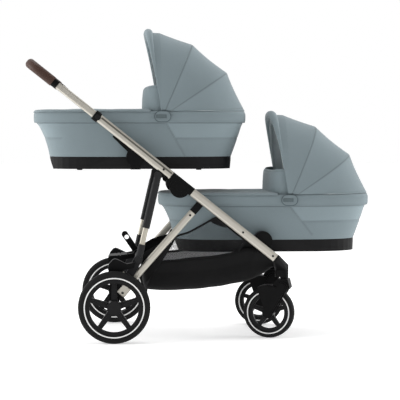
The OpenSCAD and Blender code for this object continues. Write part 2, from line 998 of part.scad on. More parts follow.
// Crown of a fork with the guard over the tyre, seen from the side
module fork_crown(hub) {
    reach = 2 * guard_r;
    guard_t = 3;
    difference() {
        union() {
            polygon([[-46, crown_z - 27], [20, crown_z - 21], [28, crown_z - 10], [19, crown_z + 24],
                [-24, crown_z + 24], [-40, crown_z + 5]]);
            intersection() {
                translate(hub)
                    circle(guard_r + guard_t);
                polygon([hub, hub + reach * [cos(112), sin(112)], hub + reach * [cos(65), sin(65)]]);
            }
        }
        translate(hub)
            circle(guard_r);
    }
}

// Side of a fork: arm with the cheek that covers the wheel's upper part
module fork_side(hub) {
    link([-2, crown_z - 10], hub, 22);
    intersection() {
        translate(hub)
            circle(guard_r + 1.5);
        polygon([hub + [-14, 4], hub + [-16, 20], hub + [-48, 112], hub + [60, 112], hub + [14, 4]]);
    }
}

module caster_fork(turn) {
    hub = [-caster_trail, front_r];
    color(black_colour)
        caster_place(turn) {
            for (side = [-1, 1])
                slab(side * (fork_gap + fork_t / 2) - fork_t / 2,
                    side * (fork_gap + fork_t / 2) + fork_t / 2)
                    fork_side(hub);
            both()
                slab(fork_gap + fork_t - 1, fork_gap + fork_t + 4)
                    link([-2, crown_z - 10], hub, 15);
            slab(-fork_gap - 1, fork_gap + 1)
                fork_crown(hub);
            rotate_extrude()
                polygon([[0, crown_z + 4], [knee_r, crown_z + 4], [knee_r, knee_z - slide_gap],
                    [stem_d / 2, knee_z - slide_gap], [stem_d / 2, knee_z + 36], [0, knee_z + 36]]);
            translate([-caster_trail, 0, front_r]) {
                both()
                    pin(36, fork_gap + 0.5, fork_gap + fork_t + 1);
                pin(axle_d, -fork_gap - 2, fork_gap + 2);
            }
        }
}

// Adapters: a hook on each rail with an upright tongue for a carrycot; the release arm runs up the rail
module adapters(p, release_arm) {
    cx = p[0] + connector_x;
    cz = p[1] + base_h;
    foot_z = cz - connector_r - slide_gap;
    color(black_colour)
        both()
            translate([cx - x_mid, 0, 0]) {
                slab(adapter_in, rail_in - slide_gap) {
                    translate([0, cz])
                        circle(connector_r);
                    translate([-tongue_w / 2 - 5, foot_z - 12])
                        square([tongue_w + 10, connector_r + 10]);
                    translate([0, cz])
                        rotate(-rail_angle)
                            polygon([[0, -7], [0, 17], [-release_arm, 14], [-release_arm, 6]]);
                }
                translate([-tongue_w / 2 - 5, tongue_y - 4, foot_z - 12])
                    cube([tongue_w + 10, adapter_in - tongue_y + 5, 12]);
                translate([-tongue_w / 2, tongue_y - tongue_t / 2, foot_z - 1])
                    cube([tongue_w, tongue_t, 50]);
            }
}

// Carrycot, drawn about the middle of its bottom
module cot_place(p) {
    place(p)
        children();
}

foot_base = -cot_len / 2 + 64;
head_base = cot_len / 2 - 60;
base_half = cot_half - 23;

module tray(inset, z1, z2) {
    intersection() {
        translate([0, 0, z1])
            linear_extrude(z2 - z1)
                polygon(plan(foot_base + inset, head_base - inset, base_half - inset));
        slab(-cot_w, cot_w)
            polygon([[foot_base + 18 + inset, 0], [head_base - 8 - inset, 0],
                [head_base, base_h + 1], [foot_base, base_h + 1]]);
        rotate([0, 0, 90])
            slab(-cot_len, cot_len)
                polygon([[8 + inset - base_half, 0], [base_half - 8 - inset, 0],
                    [base_half, base_h + 1], [-base_half, base_h + 1]]);
    }
}

// Hard base tray with its side connectors, feet and hood pins
module cot_base(p) {
    tray_wall = 7;
    floor_t = 5;
    boss_in = base_half - 14;
    color(black_colour)
        cot_place(p) {
            difference() {
                union() {
                    tray(0, 0, base_h);
                    for (x = [foot_base + 124, head_base - 136], y = [-90, 90])
                        translate([x, y, -6])
                            cylinder(d = 22, h = 8);
                    both()
                        translate([connector_x, 0, base_h]) {
                            pin(2 * connector_r, cot_half - 17.5, adapter_in - slide_gap);
                            intersection() {
                                pin(2 * connector_r, boss_in, cot_half - 17);
                                translate([-100, 0, -100])
                                    cube([200, 400, 99.8]);
                            }
                        }
                }
                tray(tray_wall, floor_t, base_h + 2);
                both()
                    translate([connector_x - tongue_w / 2 - slide_gap,
                        tongue_y - tongue_t / 2 - slide_gap, base_h - connector_r - 1])
                        cube([tongue_w + 2 * slide_gap, tongue_t + 2 * slide_gap, 51]);
            }
            both()
                translate([hood_x, 0, hood_z]) {
                    pin(hood_pin_d, mid_bow_y - bow_t - 2, cot_half + 4);
                    slab(cot_half + 0.2, cot_half + 6)
                        oval(62, 40);
                }
        }
}

// Padded wall with its thicker rim band, open at the top and the bottom
module cot_tub(p) {
    foot = -cot_len / 2;
    head = cot_len / 2;
    low = base_h + 0.2;
    band = rim_top - rim_h;
    rise = band - base_h;
    t = cot_wall;
    rim_t = cot_wall + 4;
    outer = [[foot_base, head_base, base_half, low],
        [foot + 56, head - 46, cot_half - 19, base_h + 0.3 * rise],
        [foot + 42, head - 31, cot_half - 14, base_h + 0.62 * rise],
        [foot + 24, head - 19, cot_half - 10, base_h + 0.88 * rise],
        [foot + 12, head - 12, cot_half - 8, band],
        [foot + 3, head - 3, cot_half - 2, band + 3],
        [foot, head, cot_half, band + 14],
        [foot, head, cot_half, rim_top - 10],
        [foot + 4, head - 4, cot_half - 4, rim_top]];
    inner = [[foot + rim_t + 2, head - rim_t - 2, cot_half - rim_t - 2, rim_top],
        [foot + rim_t + 4, head - rim_t - 4, cot_half - rim_t - 3, rim_top - 8],
        [foot + rim_t + 8, head - rim_t - 6, cot_half - rim_t - 3, band],
        [foot + 42 + t, head - 31 - t, cot_half - 14 - t, base_h + 0.62 * rise],
        [foot_base + t, head_base - t, base_half - t, low]];
    color(cloth_colour)
        cot_place(p)
            difference() {
                closed_loft([for (r = concat(outer, inner)) plan_ring(r[0], r[1], r[2], r[3])]);
                translate([hood_x, 0, hood_z])
                    pin(hood_pin_d + 2 * pin_fit, -cot_w, cot_w);
            }
}

// Mattress with a crown and drawn-in sides
module mattress(p) {
    z = 5 + slide_gap;
    inset = 12;
    levels = [[14, 0], [2, 0.12], [0, 0.38], [3, 0.66], [16, 0.88], [70, 0.97], [150, 1]];
    color("#dcdcd6")
        cot_place(p)
            capped_loft([for (v = levels) plan_ring(foot_base + 18 + inset + v[0],
                head_base - 8 - inset - v[0], base_half - 8 - inset - v[0], z + mattress_h * v[1])]);
}

// Apron over the foot half, with the wind flap standing at its head side
apron_x = 40;
apron_crown = 5;
apron_t = 3;
apron_half = cot_half - 6;
function rim_half(x, half) = half * pow(1 - pow(min(abs(x) / (cot_len / 2), 1), plan_p), 1 / plan_p);
function apron_top(x, y) = rim_top + slide_gap + apron_t
    + apron_crown * max(0, 1 - pow(abs(x) / (cot_len / 2), plan_p) - pow(abs(y) / apron_half, plan_p));

module apron(p) {
    steps = 10;
    cols = 10;
    flap_cols = 20;
    flap_half = cot_half - 14;
    flap_x = 9;
    flap_depth = 100;
    flap_p = 4;
    flap_t = 2.2;
    flap_lean = 5;
    back = -cot_len / 2 + 5;
    cloth = function (drop) [for (i = [0 : steps])
        let (f = 1 - pow(1 - i / steps, 2), x = back + (apron_x - back) * f, h = rim_half(x, apron_half))
        [for (j = [0 : cols]) let (y = h * (1 - 2 * j / cols)) [x, y, apron_top(x, y) - drop]]];
    flap = function (inset, top_drop) [for (row = [0, 1])
        [for (j = [0 : flap_cols])
            let (t = 180 * j / flap_cols - 90, y = (flap_half - inset) * power(sin(t), 2 / flap_p),
                x = flap_x + inset + (flap_depth - inset) * (1 - power(cos(t), 2 / flap_p)))
            row == 0 ? [x, y, apron_top(min(x, apron_x), y) + slide_gap]
                : [x + flap_lean, y, rim_top + flap_h - top_drop]]];
    color(cloth_colour)
        cot_place(p) {
            sheet(cloth(0), cloth(apron_t));
            sheet(flap(flap_t, 0), flap(0, 1));
        }
}

// Points of a hood curve at one angle, from the rim on one side over the top to the other
function hood_curve(r, a, half, low) =
    let (t0 = asin(pow(low / sin(a) / r, hood_p / 2)))
    [for (i = [0 : hood_n])
        let (t = t0 + (180 - 2 * t0) * i / hood_n, reach = r * power(sin(t), 2 / hood_p))
        [hood_x + reach * cos(a), half * power(cos(t), 2 / hood_p), hood_z + reach * sin(a)]];
// Points of the hood's lower edge round the head end
function hood_hem(half, low, end) =
    let (side_x = 165, t0 = asin(pow(side_x / (end - hood_x), hood_p / 2)))
    [for (i = [0 : hood_n])
        let (t = t0 + (180 - 2 * t0) * i / hood_n)
        [hood_x + (end - hood_x) * power(sin(t), 2 / hood_p), half * power(cos(t), 2 / hood_p),
            hood_z + low]];
function hood_skin(t, roll) =
    let (half = hood_half - t, low = rim_top + hood_gap - hood_z, r = hood_front_r - t)
    [hood_curve(r + 2 * roll, hood_front_a, half, low),
        hood_curve(r + hood_roll * roll, hood_front_a - 3.4, half, low),
        hood_curve(r + 3 * roll, hood_front_a - 6.5, half, low),
        hood_curve(r - 8, hood_front_a - 10.5, half, low),
        hood_curve(hood_mid_r - t, hood_mid_a, half, low),
        hood_curve(hood_rear_r - t, hood_rear_a, half, low),
        hood_hem(half, low, cot_len / 2 - 4 - t)];

// Hood cloth over its bows, with a roll along the front edge
module canopy(p) {
    outer = hood_skin(0, 1);
    inner = hood_skin(hood_t, 0);
    n = hood_n;
    rows = concat(outer, [for (k = [len(inner) - 1 : -1 : 0]) inner[k]]);
    rings = [for (i = [n : -1 : 0]) [for (row = rows) row[i]]];
    color(cloth_colour)
        cot_place(p)
            capped_loft(rings);
}

// Flat bow over the cot, turning on the hood pins
module bow(p, r, a, half) {
    n = 32;
    outline = function (rr, hh) [for (i = [0 : n])
        let (t = 180 * i / n)
        [hh * power(cos(t), 2 / hood_p), rr * power(sin(t), 2 / hood_p)]];
    cot_place(p)
        translate([hood_x, 0, hood_z])
            rotate([0, 90 - a, 0])
                difference() {
                    union() {
                        translate([-bow_w / 2, 0, 0])
                            rotate([90, 0, 90])
                                linear_extrude(bow_w)
                                    polygon(concat(outline(r, half), [for (i = [n : -1 : 0])
                                        outline(r - bow_t, half - bow_t)[i]]));
                        both()
                            pin(hood_pin_d + 14, half - bow_t, half);
                    }
                    pin(hood_pin_d + 2 * pin_fit, -cot_w, cot_w);
                }
}

module mid_bow(p) {
    color(steel_colour)
        bow(p, hood_mid_r - hood_t - 5, hood_mid_a, mid_bow_y);
}

module front_bow(p) {
    color(steel_colour)
        bow(p, hood_front_r - hood_t - 12, hood_front_a - 4, front_bow_y);
}

color(tube_colour) right() front_leg();  // front_leg_right
color(tube_colour) front_leg();  // front_leg_left
color(black_colour) right() front_knee();  // front_knee_right
color(black_colour) front_knee();  // front_knee_left
front_cross_tube();
color(black_colour) right() hinge_base();  // hinge_base_right
color(black_colour) hinge_base();  // hinge_base_left
basket();
basket_mesh();
frame_screws();
color(tube_colour) right() upper_rail();  // upper_rail_right
color(tube_colour) upper_rail();  // upper_rail_left
color(black_colour) right() hinge_head();  // hinge_head_right
color(black_colour) hinge_head();  // hinge_head_left
color(black_colour) right() rail_collar();  // rail_collar_right
color(black_colour) rail_collar();  // rail_collar_left
strut_brackets();
handle_bar();
handle_grip();
grip_ends();
color(grey_colour) right() push_button();  // push_button_right
color(grey_colour) push_button();  // push_button_left
color(tube_colour) right() rear_leg();  // rear_leg_right
color(tube_colour) rear_leg();  // rear_leg_left
leg_tops();
color(grey_colour) right() leg_knuckle();  // leg_knuckle_right
color(grey_colour) leg_knuckle();  // leg_knuckle_left
color(black_colour) right() rear_hub();  // rear_hub_right
color(black_colour) rear_hub();  // rear_hub_left
rear_cross_tube();
strut_sleeves();
strut_rods();
brake_pedal();
catch_lever();
right() rear_tyre();  // rear_tyre_right
rear_tyre();  // rear_tyre_left
right() rear_rim();  // rear_rim_right
rear_rim();  // rear_rim_left
right() front_tyre(-caster_turn_right);  // front_tyre_right
front_tyre(caster_turn_left);  // front_tyre_left
right() front_rim(-caster_turn_right);  // front_rim_right
front_rim(caster_turn_left);  // front_rim_left
right() caster_fork(-caster_turn_right);  // caster_fork_right
caster_fork(caster_turn_left);  // caster_fork_left
adapters(upper_p, 121);  // upper_adapters
cot_base(upper_p);  // upper_cot_base
cot_tub(upper_p);  // upper_cot_tub
mattress(upper_p);  // upper_mattress
apron(upper_p);  // upper_apron
canopy(upper_p);  // upper_canopy
mid_bow(upper_p);  // upper_mid_bow
front_bow(upper_p);  // upper_front_bow
adapters(lower_p, 30);  // lower_adapters
cot_base(lower_p);  // lower_cot_base
cot_tub(lower_p);  // lower_cot_tub
mattress(lower_p);  // lower_mattress
apron(lower_p);  // lower_apron
canopy(lower_p);  // lower_canopy
mid_bow(lower_p);  // lower_mid_bow
front_bow(lower_p);  // lower_front_bow
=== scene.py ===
"""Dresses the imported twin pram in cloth, net, leather, metal, plastic and rubber."""

import json
import logging
import math
from dataclasses import dataclass, field
from enum import Enum
from typing import Callable, Optional, Protocol, Sequence, Union

import bmesh
import bpy
import numpy as np
from mathutils import Matrix, Vector


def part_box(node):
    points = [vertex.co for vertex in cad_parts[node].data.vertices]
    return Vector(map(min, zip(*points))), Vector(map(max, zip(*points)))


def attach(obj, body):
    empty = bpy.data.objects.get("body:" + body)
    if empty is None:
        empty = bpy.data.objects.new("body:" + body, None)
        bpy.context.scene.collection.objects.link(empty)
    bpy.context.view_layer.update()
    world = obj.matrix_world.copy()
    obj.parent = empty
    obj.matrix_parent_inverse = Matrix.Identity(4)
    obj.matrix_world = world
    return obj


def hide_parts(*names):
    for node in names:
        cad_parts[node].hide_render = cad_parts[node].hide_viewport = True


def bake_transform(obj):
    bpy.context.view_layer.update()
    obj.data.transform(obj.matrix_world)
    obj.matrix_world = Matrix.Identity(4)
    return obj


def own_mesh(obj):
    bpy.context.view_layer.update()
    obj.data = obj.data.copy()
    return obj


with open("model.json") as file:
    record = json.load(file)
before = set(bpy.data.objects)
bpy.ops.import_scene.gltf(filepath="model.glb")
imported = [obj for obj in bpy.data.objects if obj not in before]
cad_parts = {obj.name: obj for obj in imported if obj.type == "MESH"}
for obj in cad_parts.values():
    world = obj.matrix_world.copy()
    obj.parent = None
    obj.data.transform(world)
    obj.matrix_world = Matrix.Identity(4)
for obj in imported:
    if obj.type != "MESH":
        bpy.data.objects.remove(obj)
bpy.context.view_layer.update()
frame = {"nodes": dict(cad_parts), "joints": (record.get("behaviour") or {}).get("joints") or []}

MM = 0.001
UV_NAME = "cloth"
log = logging.getLogger("pram")

Triple = tuple[float, float, float]
Colour = Triple
Number = Union[float, "Value"]


class Side(Enum):
    """The pram's two sides, by the sign of Y."""

    RIGHT = -1
    LEFT = 1

    @property
    def word(self) -> str:
        """Name of the side as the nodes spell it."""
        return self.name.lower()


class Level(Enum):
    """The two carrycots."""

    UPPER = "upper"
    LOWER = "lower"


class Held(Enum):
    """How a sheet is held."""

    STRETCHED = "stretched"
    HUNG = "hung"


class Value:
    """A shader value whose arithmetic adds Math nodes."""

    def __init__(self, kit: "Kit", socket: bpy.types.NodeSocket) -> None:
        """Keeps the socket and the material it belongs to."""
        self.kit = kit
        self.socket = socket

    def _join(self, operation: str, left: Number, right: Number = 0.0) -> "Value":
        """Adds one Math node."""
        made = self.kit.node("ShaderNodeMath", {"operation": operation}, {0: left, 1: right})
        return self.kit.out(made)

    def __add__(self, other: Number) -> "Value":
        """Sum."""
        return self._join("ADD", self, other)

    def __radd__(self, other: Number) -> "Value":
        """Sum with a number on the left."""
        return self._join("ADD", other, self)

    def __sub__(self, other: Number) -> "Value":
        """Difference."""
        return self._join("SUBTRACT", self, other)

    def __rsub__(self, other: Number) -> "Value":
        """Difference from a number on the left."""
        return self._join("SUBTRACT", other, self)

    def __mul__(self, other: Number) -> "Value":
        """Product."""
        return self._join("MULTIPLY", self, other)

    def __rmul__(self, other: Number) -> "Value":
        """Product with a number on the left."""
        return self._join("MULTIPLY", other, self)

    def __abs__(self) -> "Value":
        """Size without its sign."""
        return self._join("ABSOLUTE", self)

    def sine(self) -> "Value":
        """Sine of a value in radians."""
        return self._join("SINE", self)

    def least(self, other: Number) -> "Value":
        """The smaller of two values."""
        return self._join("MINIMUM", self, other)

    def most(self, other: Number) -> "Value":
        """The larger of two values."""
        return self._join("MAXIMUM", self, other)

    def step(self, low: float, high: float) -> "Value":
        """Smooth step of the value.

        Args:
            low: Where it is 0.
            high: Where it is 1.

        Returns:
            The step.
        """
        made = self.kit.node(
            "ShaderNodeMapRange",
            {"interpolation_type": "SMOOTHSTEP"},
            {"Value": self, "From Min": low, "From Max": high},
        )
        return self.kit.out(made)


class Kit:
    """Node tree of one material or of the world."""

    def __init__(self, name: str, data: Optional[bpy.types.World] = None) -> None:
        """Starts an empty tree.

        Args:
            name: Name of the new material.
            data: The world, if the tree is the world's.
        """
        self.material = data or bpy.data.materials.new(name)
        self.material.use_nodes = True
        self.tree = self.material.node_tree
        self.tree.nodes.clear()

    def node(self, kind: str, settings: Optional[dict] = None,
             inputs: Optional[dict] = None) -> bpy.types.Node:
        """Adds a node.

        Args:
            kind: Blender's node type.
            settings: Properties, set first.
            inputs: Values or links of its sockets.

        Returns:
            The new node.
        """
        made = self.tree.nodes.new(kind)
        for key, setting in (settings or {}).items():
            setattr(made, key, setting)
        for key, given in (inputs or {}).items():
            if isinstance(given, Value):
                self.tree.links.new(given.socket, made.inputs[key])
            else:
                made.inputs[key].default_value = given
        return made

    def out(self, made: bpy.types.Node, key: Union[int, str] = 0) -> Value:
        """One output of a node as a value."""
        return Value(self, made.outputs[key])

    def place(self) -> Value:
        """Object coordinates, in metres."""
        return self.out(self.node("ShaderNodeTexCoord"), "Object")

    def axes(self, vector: Value) -> tuple[Value, Value, Value]:
        """The three parts of a vector."""
        made = self.node("ShaderNodeSeparateXYZ", None, {0: vector})
        return self.out(made, 0), self.out(made, 1), self.out(made, 2)

    def cloth_axes(self) -> tuple[Value, Value]:
        """Distance along and across the cloth, in metres."""
        u, v, _ = self.axes(self.out(self.node("ShaderNodeUVMap", {"uv_map": UV_NAME})))
        return u, v

    def mark(self, name: str) -> Value:
        """A piece's own attribute, from 0 to 1."""
        return self.out(self.node("ShaderNodeAttribute", {"attribute_name": name}), "Fac")

    def noise(self, scale: float, detail: float = 2.0, vector: Optional[Value] = None) -> Value:
        """Noise about 0.5.

        Args:
            scale: Features to the metre.
            detail: Octaves.
            vector: Where to read it; Object coordinates if none.

        Returns:
            The noise.
        """
        where = vector or self.place()
        made = self.node("ShaderNodeTexNoise", None, {"Vector": where, "Scale": scale, "Detail": detail})
        return self.out(made)

    def stretched(self, scale: Triple, turn: Triple = (0.0, 0.0, 0.0)) -> Value:
        """Object coordinates, turned and scaled along each axis."""
        made = self.node(
            "ShaderNodeMapping", None, {"Vector": self.place(), "Rotation": turn, "Scale": scale}
        )
        return self.out(made)

    def mix(self, share: Number, low: Union[Colour, Value], high: Union[Colour, Value]) -> Value:
        """Colour between two.

        Args:
            share: 0 gives low and 1 gives high.
            low: Colour or link.
            high: Colour or link.

        Returns:
            The mixed colour.
        """
        wide = [c if isinstance(c, Value) else (*c, 1.0) for c in (low, high)]
        made = self.node("ShaderNodeMix", {"data_type": "RGBA"}, {0: share, 6: wide[0], 7: wide[1]})
        return self.out(made, 2)

    def bump(self, height: Value, depth: float, strength: float = 0.5) -> Value:
        """Normal from a height between 0 and 1.

        Args:
            height: Height map.
            depth: Metres that 1 stands for.
            strength: Share of the effect.

        Returns:
            The bent normal.
        """
        made = self.node("ShaderNodeBump", None, {"Height": height, "Distance": depth, "Strength": strength})
        return self.out(made)

    def surface(self, **sockets: Union[float, Colour, Value]) -> bpy.types.Material:
        """Closes the material with a Principled surface.

        Args:
            sockets: Values by socket name, spaces written as underscores.

        Returns:
            The material.
        """
        named = {}
        for key, given in sockets.items():
            colour = isinstance(given, tuple)
            named[key.replace("_", " ")] = (*given, 1.0) if colour else given
        shader = self.node("ShaderNodeBsdfPrincipled", None, named)
        self.node("ShaderNodeOutputMaterial", None, {"Surface": self.out(shader)})
        return self.material


def shade(colour: Colour, share: float) -> Colour:
    """A colour made darker or paler by a factor."""
    return tuple(min(1.0, c * share) for c in colour)


class Finish(Protocol):
    """What every finish can do."""

    def make(self) -> bpy.types.Material:
        """Makes the finish's material."""


@dataclass(frozen=True)
class WovenCloth:
    """Heathered plain weave with sewn seams and a paler panel; its seam mark also carries painted shade and
    its panel mark a painted highlight.
    """

    name: str
    dark: Colour
    pale: Colour
    panel: Colour
    pitch: float = 1.3 * MM
    rough: float = 0.8
    sheen: float = 0.15
    lining: Optional[Colour] = None

    def tones(self, kit: Kit) -> tuple[Value, Value]:
        """Colour and height of the cloth.

        Args:
            kit: Material being made.

        Returns:
            Base colour and height.
        """
        u, v = kit.cloth_axes()
        turn = 2 * math.pi / self.pitch
        weave = (u * turn).sine() * (v * turn).sine()
        fleck = kit.noise(520.0, 2.0)
        cloud = kit.noise(7.0, 3.0)
        tone = (0.5 + (fleck - 0.5) * 1.1 + (cloud - 0.5) * 0.7 + weave * 0.05).most(0.0).least(1.0)
        cloth = kit.mix(tone, self.dark, self.pale)
        # The panel colour is a real paler panel at the head end and a painted highlight on the wall's curved
        # foot end.
        panel = kit.mix(tone, shade(self.panel, 0.93), shade(self.panel, 1.07))
        seam = kit.mark("seam")
        cloth = kit.mix(kit.mark("panel"), cloth, panel)
        # The seam mark darkens the cloth along sewn lines; on the wall it also carries painted shade under
        # the rim band.
        cloth = kit.mix(seam * 0.6, cloth, shade(self.dark, 0.45))
        if self.lining:
            inner = kit.mix(tone, shade(self.lining, 0.9), shade(self.lining, 1.1))
            cloth = kit.mix(kit.mark("lining"), cloth, inner)
        return cloth, weave * 0.3 + fleck * 0.4 - seam

    def make(self) -> bpy.types.Material:
        """Makes the finish.

        Returns:
            The new material.
        """
        kit = Kit(self.name)
        cloth, height = self.tones(kit)
        return kit.surface(
            Base_Color=cloth,
            Roughness=self.rough + (kit.noise(60.0) - 0.5) * 0.12,
            Normal=kit.bump(height, 0.5 * MM, 0.45),
            Sheen_Weight=self.sheen,
            Sheen_Roughness=0.5,
            Specular_IOR_Level=0.12,
        )


@dataclass(frozen=True)
class NetCloth:
    """Open net of round holes with solid thread between."""

    name: str
    thread: Colour
    edging: Colour = (0.005, 0.005, 0.0053)
    cell: float = 3.2 * MM
    cover: float = 0.07
    soft: float = 0.12

    def make(self) -> bpy.types.Material:
        """Makes the finish.

        Returns:
            The new material.
        """
        kit = Kit(self.name)
        u, v = kit.cloth_axes()
        turn = math.pi / self.cell
        rows = ((u + v) * turn).sine() * ((u - v) * turn).sine()
        binding = kit.mark("binding")
        hole = 1 - abs(rows).step(self.cover, self.cover + self.soft)
        fuzz = kit.noise(800.0)
        return kit.surface(
            Base_Color=kit.mix(
                binding, kit.mix(fuzz, shade(self.thread, 0.8), shade(self.thread, 1.2)), self.edging
            ),
            Roughness=0.75 + (fuzz - 0.5) * 0.2,
            Specular_IOR_Level=0.15,
            Alpha=hole.most(binding),
            Normal=kit.bump(hole + fuzz * 0.3, 0.3 * MM),
        )


@dataclass(frozen=True)
class Leather:
    """Grained leather wrap with worn, paler patches."""

    name: str
    dark: Colour
    pale: Colour

    def make(self) -> bpy.types.Material:
        """Makes the finish.

        Returns:
            The new material.
        """
        kit = Kit(self.name)
        cells = kit.node(
            "ShaderNodeTexVoronoi", {"feature": "DISTANCE_TO_EDGE"}, {"Vector": kit.place(), "Scale": 620.0}
        )
        grain = kit.out(cells).step(0.0, 0.22)
        patch = kit.noise(14.0, 4.0)
        tone = (patch * 0.6 + grain * 0.1 + 0.08).most(0.0).least(1.0)
        return kit.surface(
            Base_Color=kit.mix(tone, self.dark, self.pale),
            Roughness=0.52 - grain * 0.1 + (patch - 0.5) * 0.2,
            Normal=kit.bump(grain + kit.noise(90.0) * 0.4, 0.2 * MM, 0.35),
            Specular_IOR_Level=0.2,
        )


@dataclass(frozen=True)
class DrawnTube:
    """Anodised aluminium with faint drawing lines along the tube."""

    name: str
    colour: Colour
    metallic: float = 0.75
    rough: float = 0.36

    def make(self) -> bpy.types.Material:
        """Makes the finish.

        Returns:
            The new material.
        """
        kit = Kit(self.name)
        slope = (0.0, -RAIL_ANGLE, 0.0)
        lines = kit.noise(1.0, 2.0, kit.stretched((2.0, 320.0, 320.0), slope))
        cloud = kit.noise(22.0, 3.0)
        return kit.surface(
            Base_Color=kit.mix(lines * 0.6 + cloud * 0.4, shade(self.colour, 0.93), shade(self.colour, 1.05)),
            Metallic=self.metallic,
            Roughness=self.rough + (lines - 0.5) * 0.08 + (cloud - 0.5) * 0.06,
            Normal=kit.bump(lines, 0.03 * MM, 0.15),
        )


@dataclass(frozen=True)
class MouldedPlastic:
    """Moulded plastic with a spark-eroded grain and rubbed patches."""

    name: str
    colour: Colour
    rough: float = 0.46
    grain: float = 950.0
    depth: float = 0.12 * MM
    gloss: float = 0.09

    def make(self) -> bpy.types.Material:
        """Makes the finish.

        Returns:
            The new material.
        """
        kit = Kit(self.name)
        grain = kit.noise(self.grain, 2.0)
        rub = kit.noise(26.0, 4.0)
        return kit.surface(
            Base_Color=kit.mix(rub * 0.7 + grain * 0.3, shade(self.colour, 0.75), shade(self.colour, 1.3)),
            Roughness=self.rough + (rub - 0.5) * 0.22 + (grain - 0.5) * 0.1,
            Normal=kit.bump(grain, self.depth, 0.5),
            Specular_IOR_Level=self.gloss,
        )


@dataclass(frozen=True)
class BraidedSleeve:
    """Plastic sleeve with a fine diagonal rib."""

    name: str
    colour: Colour
    pitch: float = 3.4 * MM

    def make(self) -> bpy.types.Material:
        """Makes the finish.

        Returns:
            The new material.
        """
        kit = Kit(self.name)
        x, y, z = kit.axes(kit.place())
        turn = math.pi / self.pitch
        rib = abs(((x + z) * turn + y * turn).sine()) * abs(((x + z) * turn - y * turn).sine())
        fuzz = kit.noise(500.0)
        return kit.surface(
            Base_Color=kit.mix(rib * 0.7 + fuzz * 0.3, shade(self.colour, 0.6), shade(self.colour, 1.5)),
            Roughness=0.6 - rib * 0.15 + (fuzz - 0.5) * 0.1,
            Normal=kit.bump(rib + fuzz * 0.2, 0.4 * MM, 0.6),
            Specular_IOR_Level=0.25,
        )


@dataclass(frozen=True)
class TyreRubber:
    """Matt rubber with fine moulding marks and a little dust."""

    name: str
    colour: Colour
    dusty: Colour = (0.025, 0.0245, 0.023)

    def make(self) -> bpy.types.Material:
        """Makes the finish.

        Returns:
            The new material.
        """
        kit = Kit(self.name)
        fine = kit.noise(420.0, 3.0)
        dust = kit.noise(18.0, 4.0).step(0.45, 0.8)
        return kit.surface(
            Base_Color=kit.mix(dust * 0.25 + fine * 0.1, self.colour, self.dusty),
            Roughness=0.72 + dust * 0.12 + (fine - 0.5) * 0.12,
            Normal=kit.bump(fine, 0.25 * MM, 0.5),
            Specular_IOR_Level=0.15,
        )


@dataclass(frozen=True)
class CoatedMetal:
    """Painted or plated metal with a faint orange peel."""

    name: str
    colour: Colour
    metallic: float
    rough: float

    def make(self) -> bpy.types.Material:
        """Makes the finish.

        Returns:
            The new material.
        """
        kit = Kit(self.name)
        peel = kit.noise(240.0, 2.0)
        cloud = kit.noise(24.0, 3.0)
        return kit.surface(
            Base_Color=kit.mix(cloud, shade(self.colour, 0.9), shade(self.colour, 1.08)),
            Metallic=self.metallic,
            Roughness=self.rough + (cloud - 0.5) * 0.14,
            Normal=kit.bump(peel, 0.06 * MM, 0.4),
        )


@dataclass(frozen=True)
class QuiltedKnit:
    """Soft knitted cover of a mattress."""

    name: str
    colour: Colour
    stitch: Colour = (0.45, 0.45, 0.43)
    pitch: float = 2.4 * MM

    def make(self) -> bpy.types.Material:
        """Makes the finish.

        Returns:
            The new material.
        """
        kit = Kit(self.name)
        x, y, _ = kit.axes(kit.place())
        turn = 2 * math.pi / self.pitch
        loops = (x * turn).sine() * (y * turn * 0.5).sine()
        fuzz = kit.noise(600.0)
        seam = kit.mark("seam")
        tone = fuzz * 0.6 + loops * 0.1 + 0.2
        return kit.surface(
            Base_Color=kit.mix(
                seam * 0.4, kit.mix(tone, shade(self.colour, 0.9), self.colour), self.stitch
            ),
            Roughness=0.86 + (fuzz - 0.5) * 0.1,
            Normal=kit.bump(loops * 0.5 + fuzz * 0.4, 0.5 * MM, 0.5),
            Sheen_Weight=0.3,
        )


@dataclass(frozen=True)
class TwoPartTray:
    """Black moulded tray with greyer side connectors; its hood covers, above a height, match the cloth."""

    name: str
    tray: Colour
    disc: Colour
    cover: Colour
    height: float
    side: float
    blur: float = 1.0 * MM

    def make(self) -> bpy.types.Material:
        """Makes the finish.

        Returns:
            The new material.
        """
        kit = Kit(self.name)
        _, y, z = kit.axes(kit.place())
        above = z.step(self.height - 2 * self.blur, self.height + 2 * self.blur)
        beside = abs(y).step(self.side - self.blur, self.side + self.blur)
        grain = kit.noise(700.0, 2.0)
        rub = kit.noise(20.0, 4.0)
        tray = kit.mix(beside, self.tray, self.disc)
        tray = kit.mix(rub * 0.25 + grain * 0.15, tray, self.disc)
        cover = kit.mix(grain, shade(self.cover, 0.92), shade(self.cover, 1.06))
        return kit.surface(
            Base_Color=kit.mix(above, tray, cover),
            Roughness=0.55 + (rub - 0.5) * 0.2,
            Normal=kit.bump(grain, 0.2 * MM, 0.5),
            Specular_IOR_Level=0.12,
        )


RAIL_ANGLE = math.radians(38.5)
RAIL_FOOT = (643.0, 329.5)
AXLE_X = sum(p.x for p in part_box("rear_rim_right")) / 2
BLACK: Colour = (0.0032, 0.0032, 0.0034)
GREY: Colour = (0.022, 0.022, 0.0235)
CLOTH: Colour = (0.182, 0.226, 0.243)

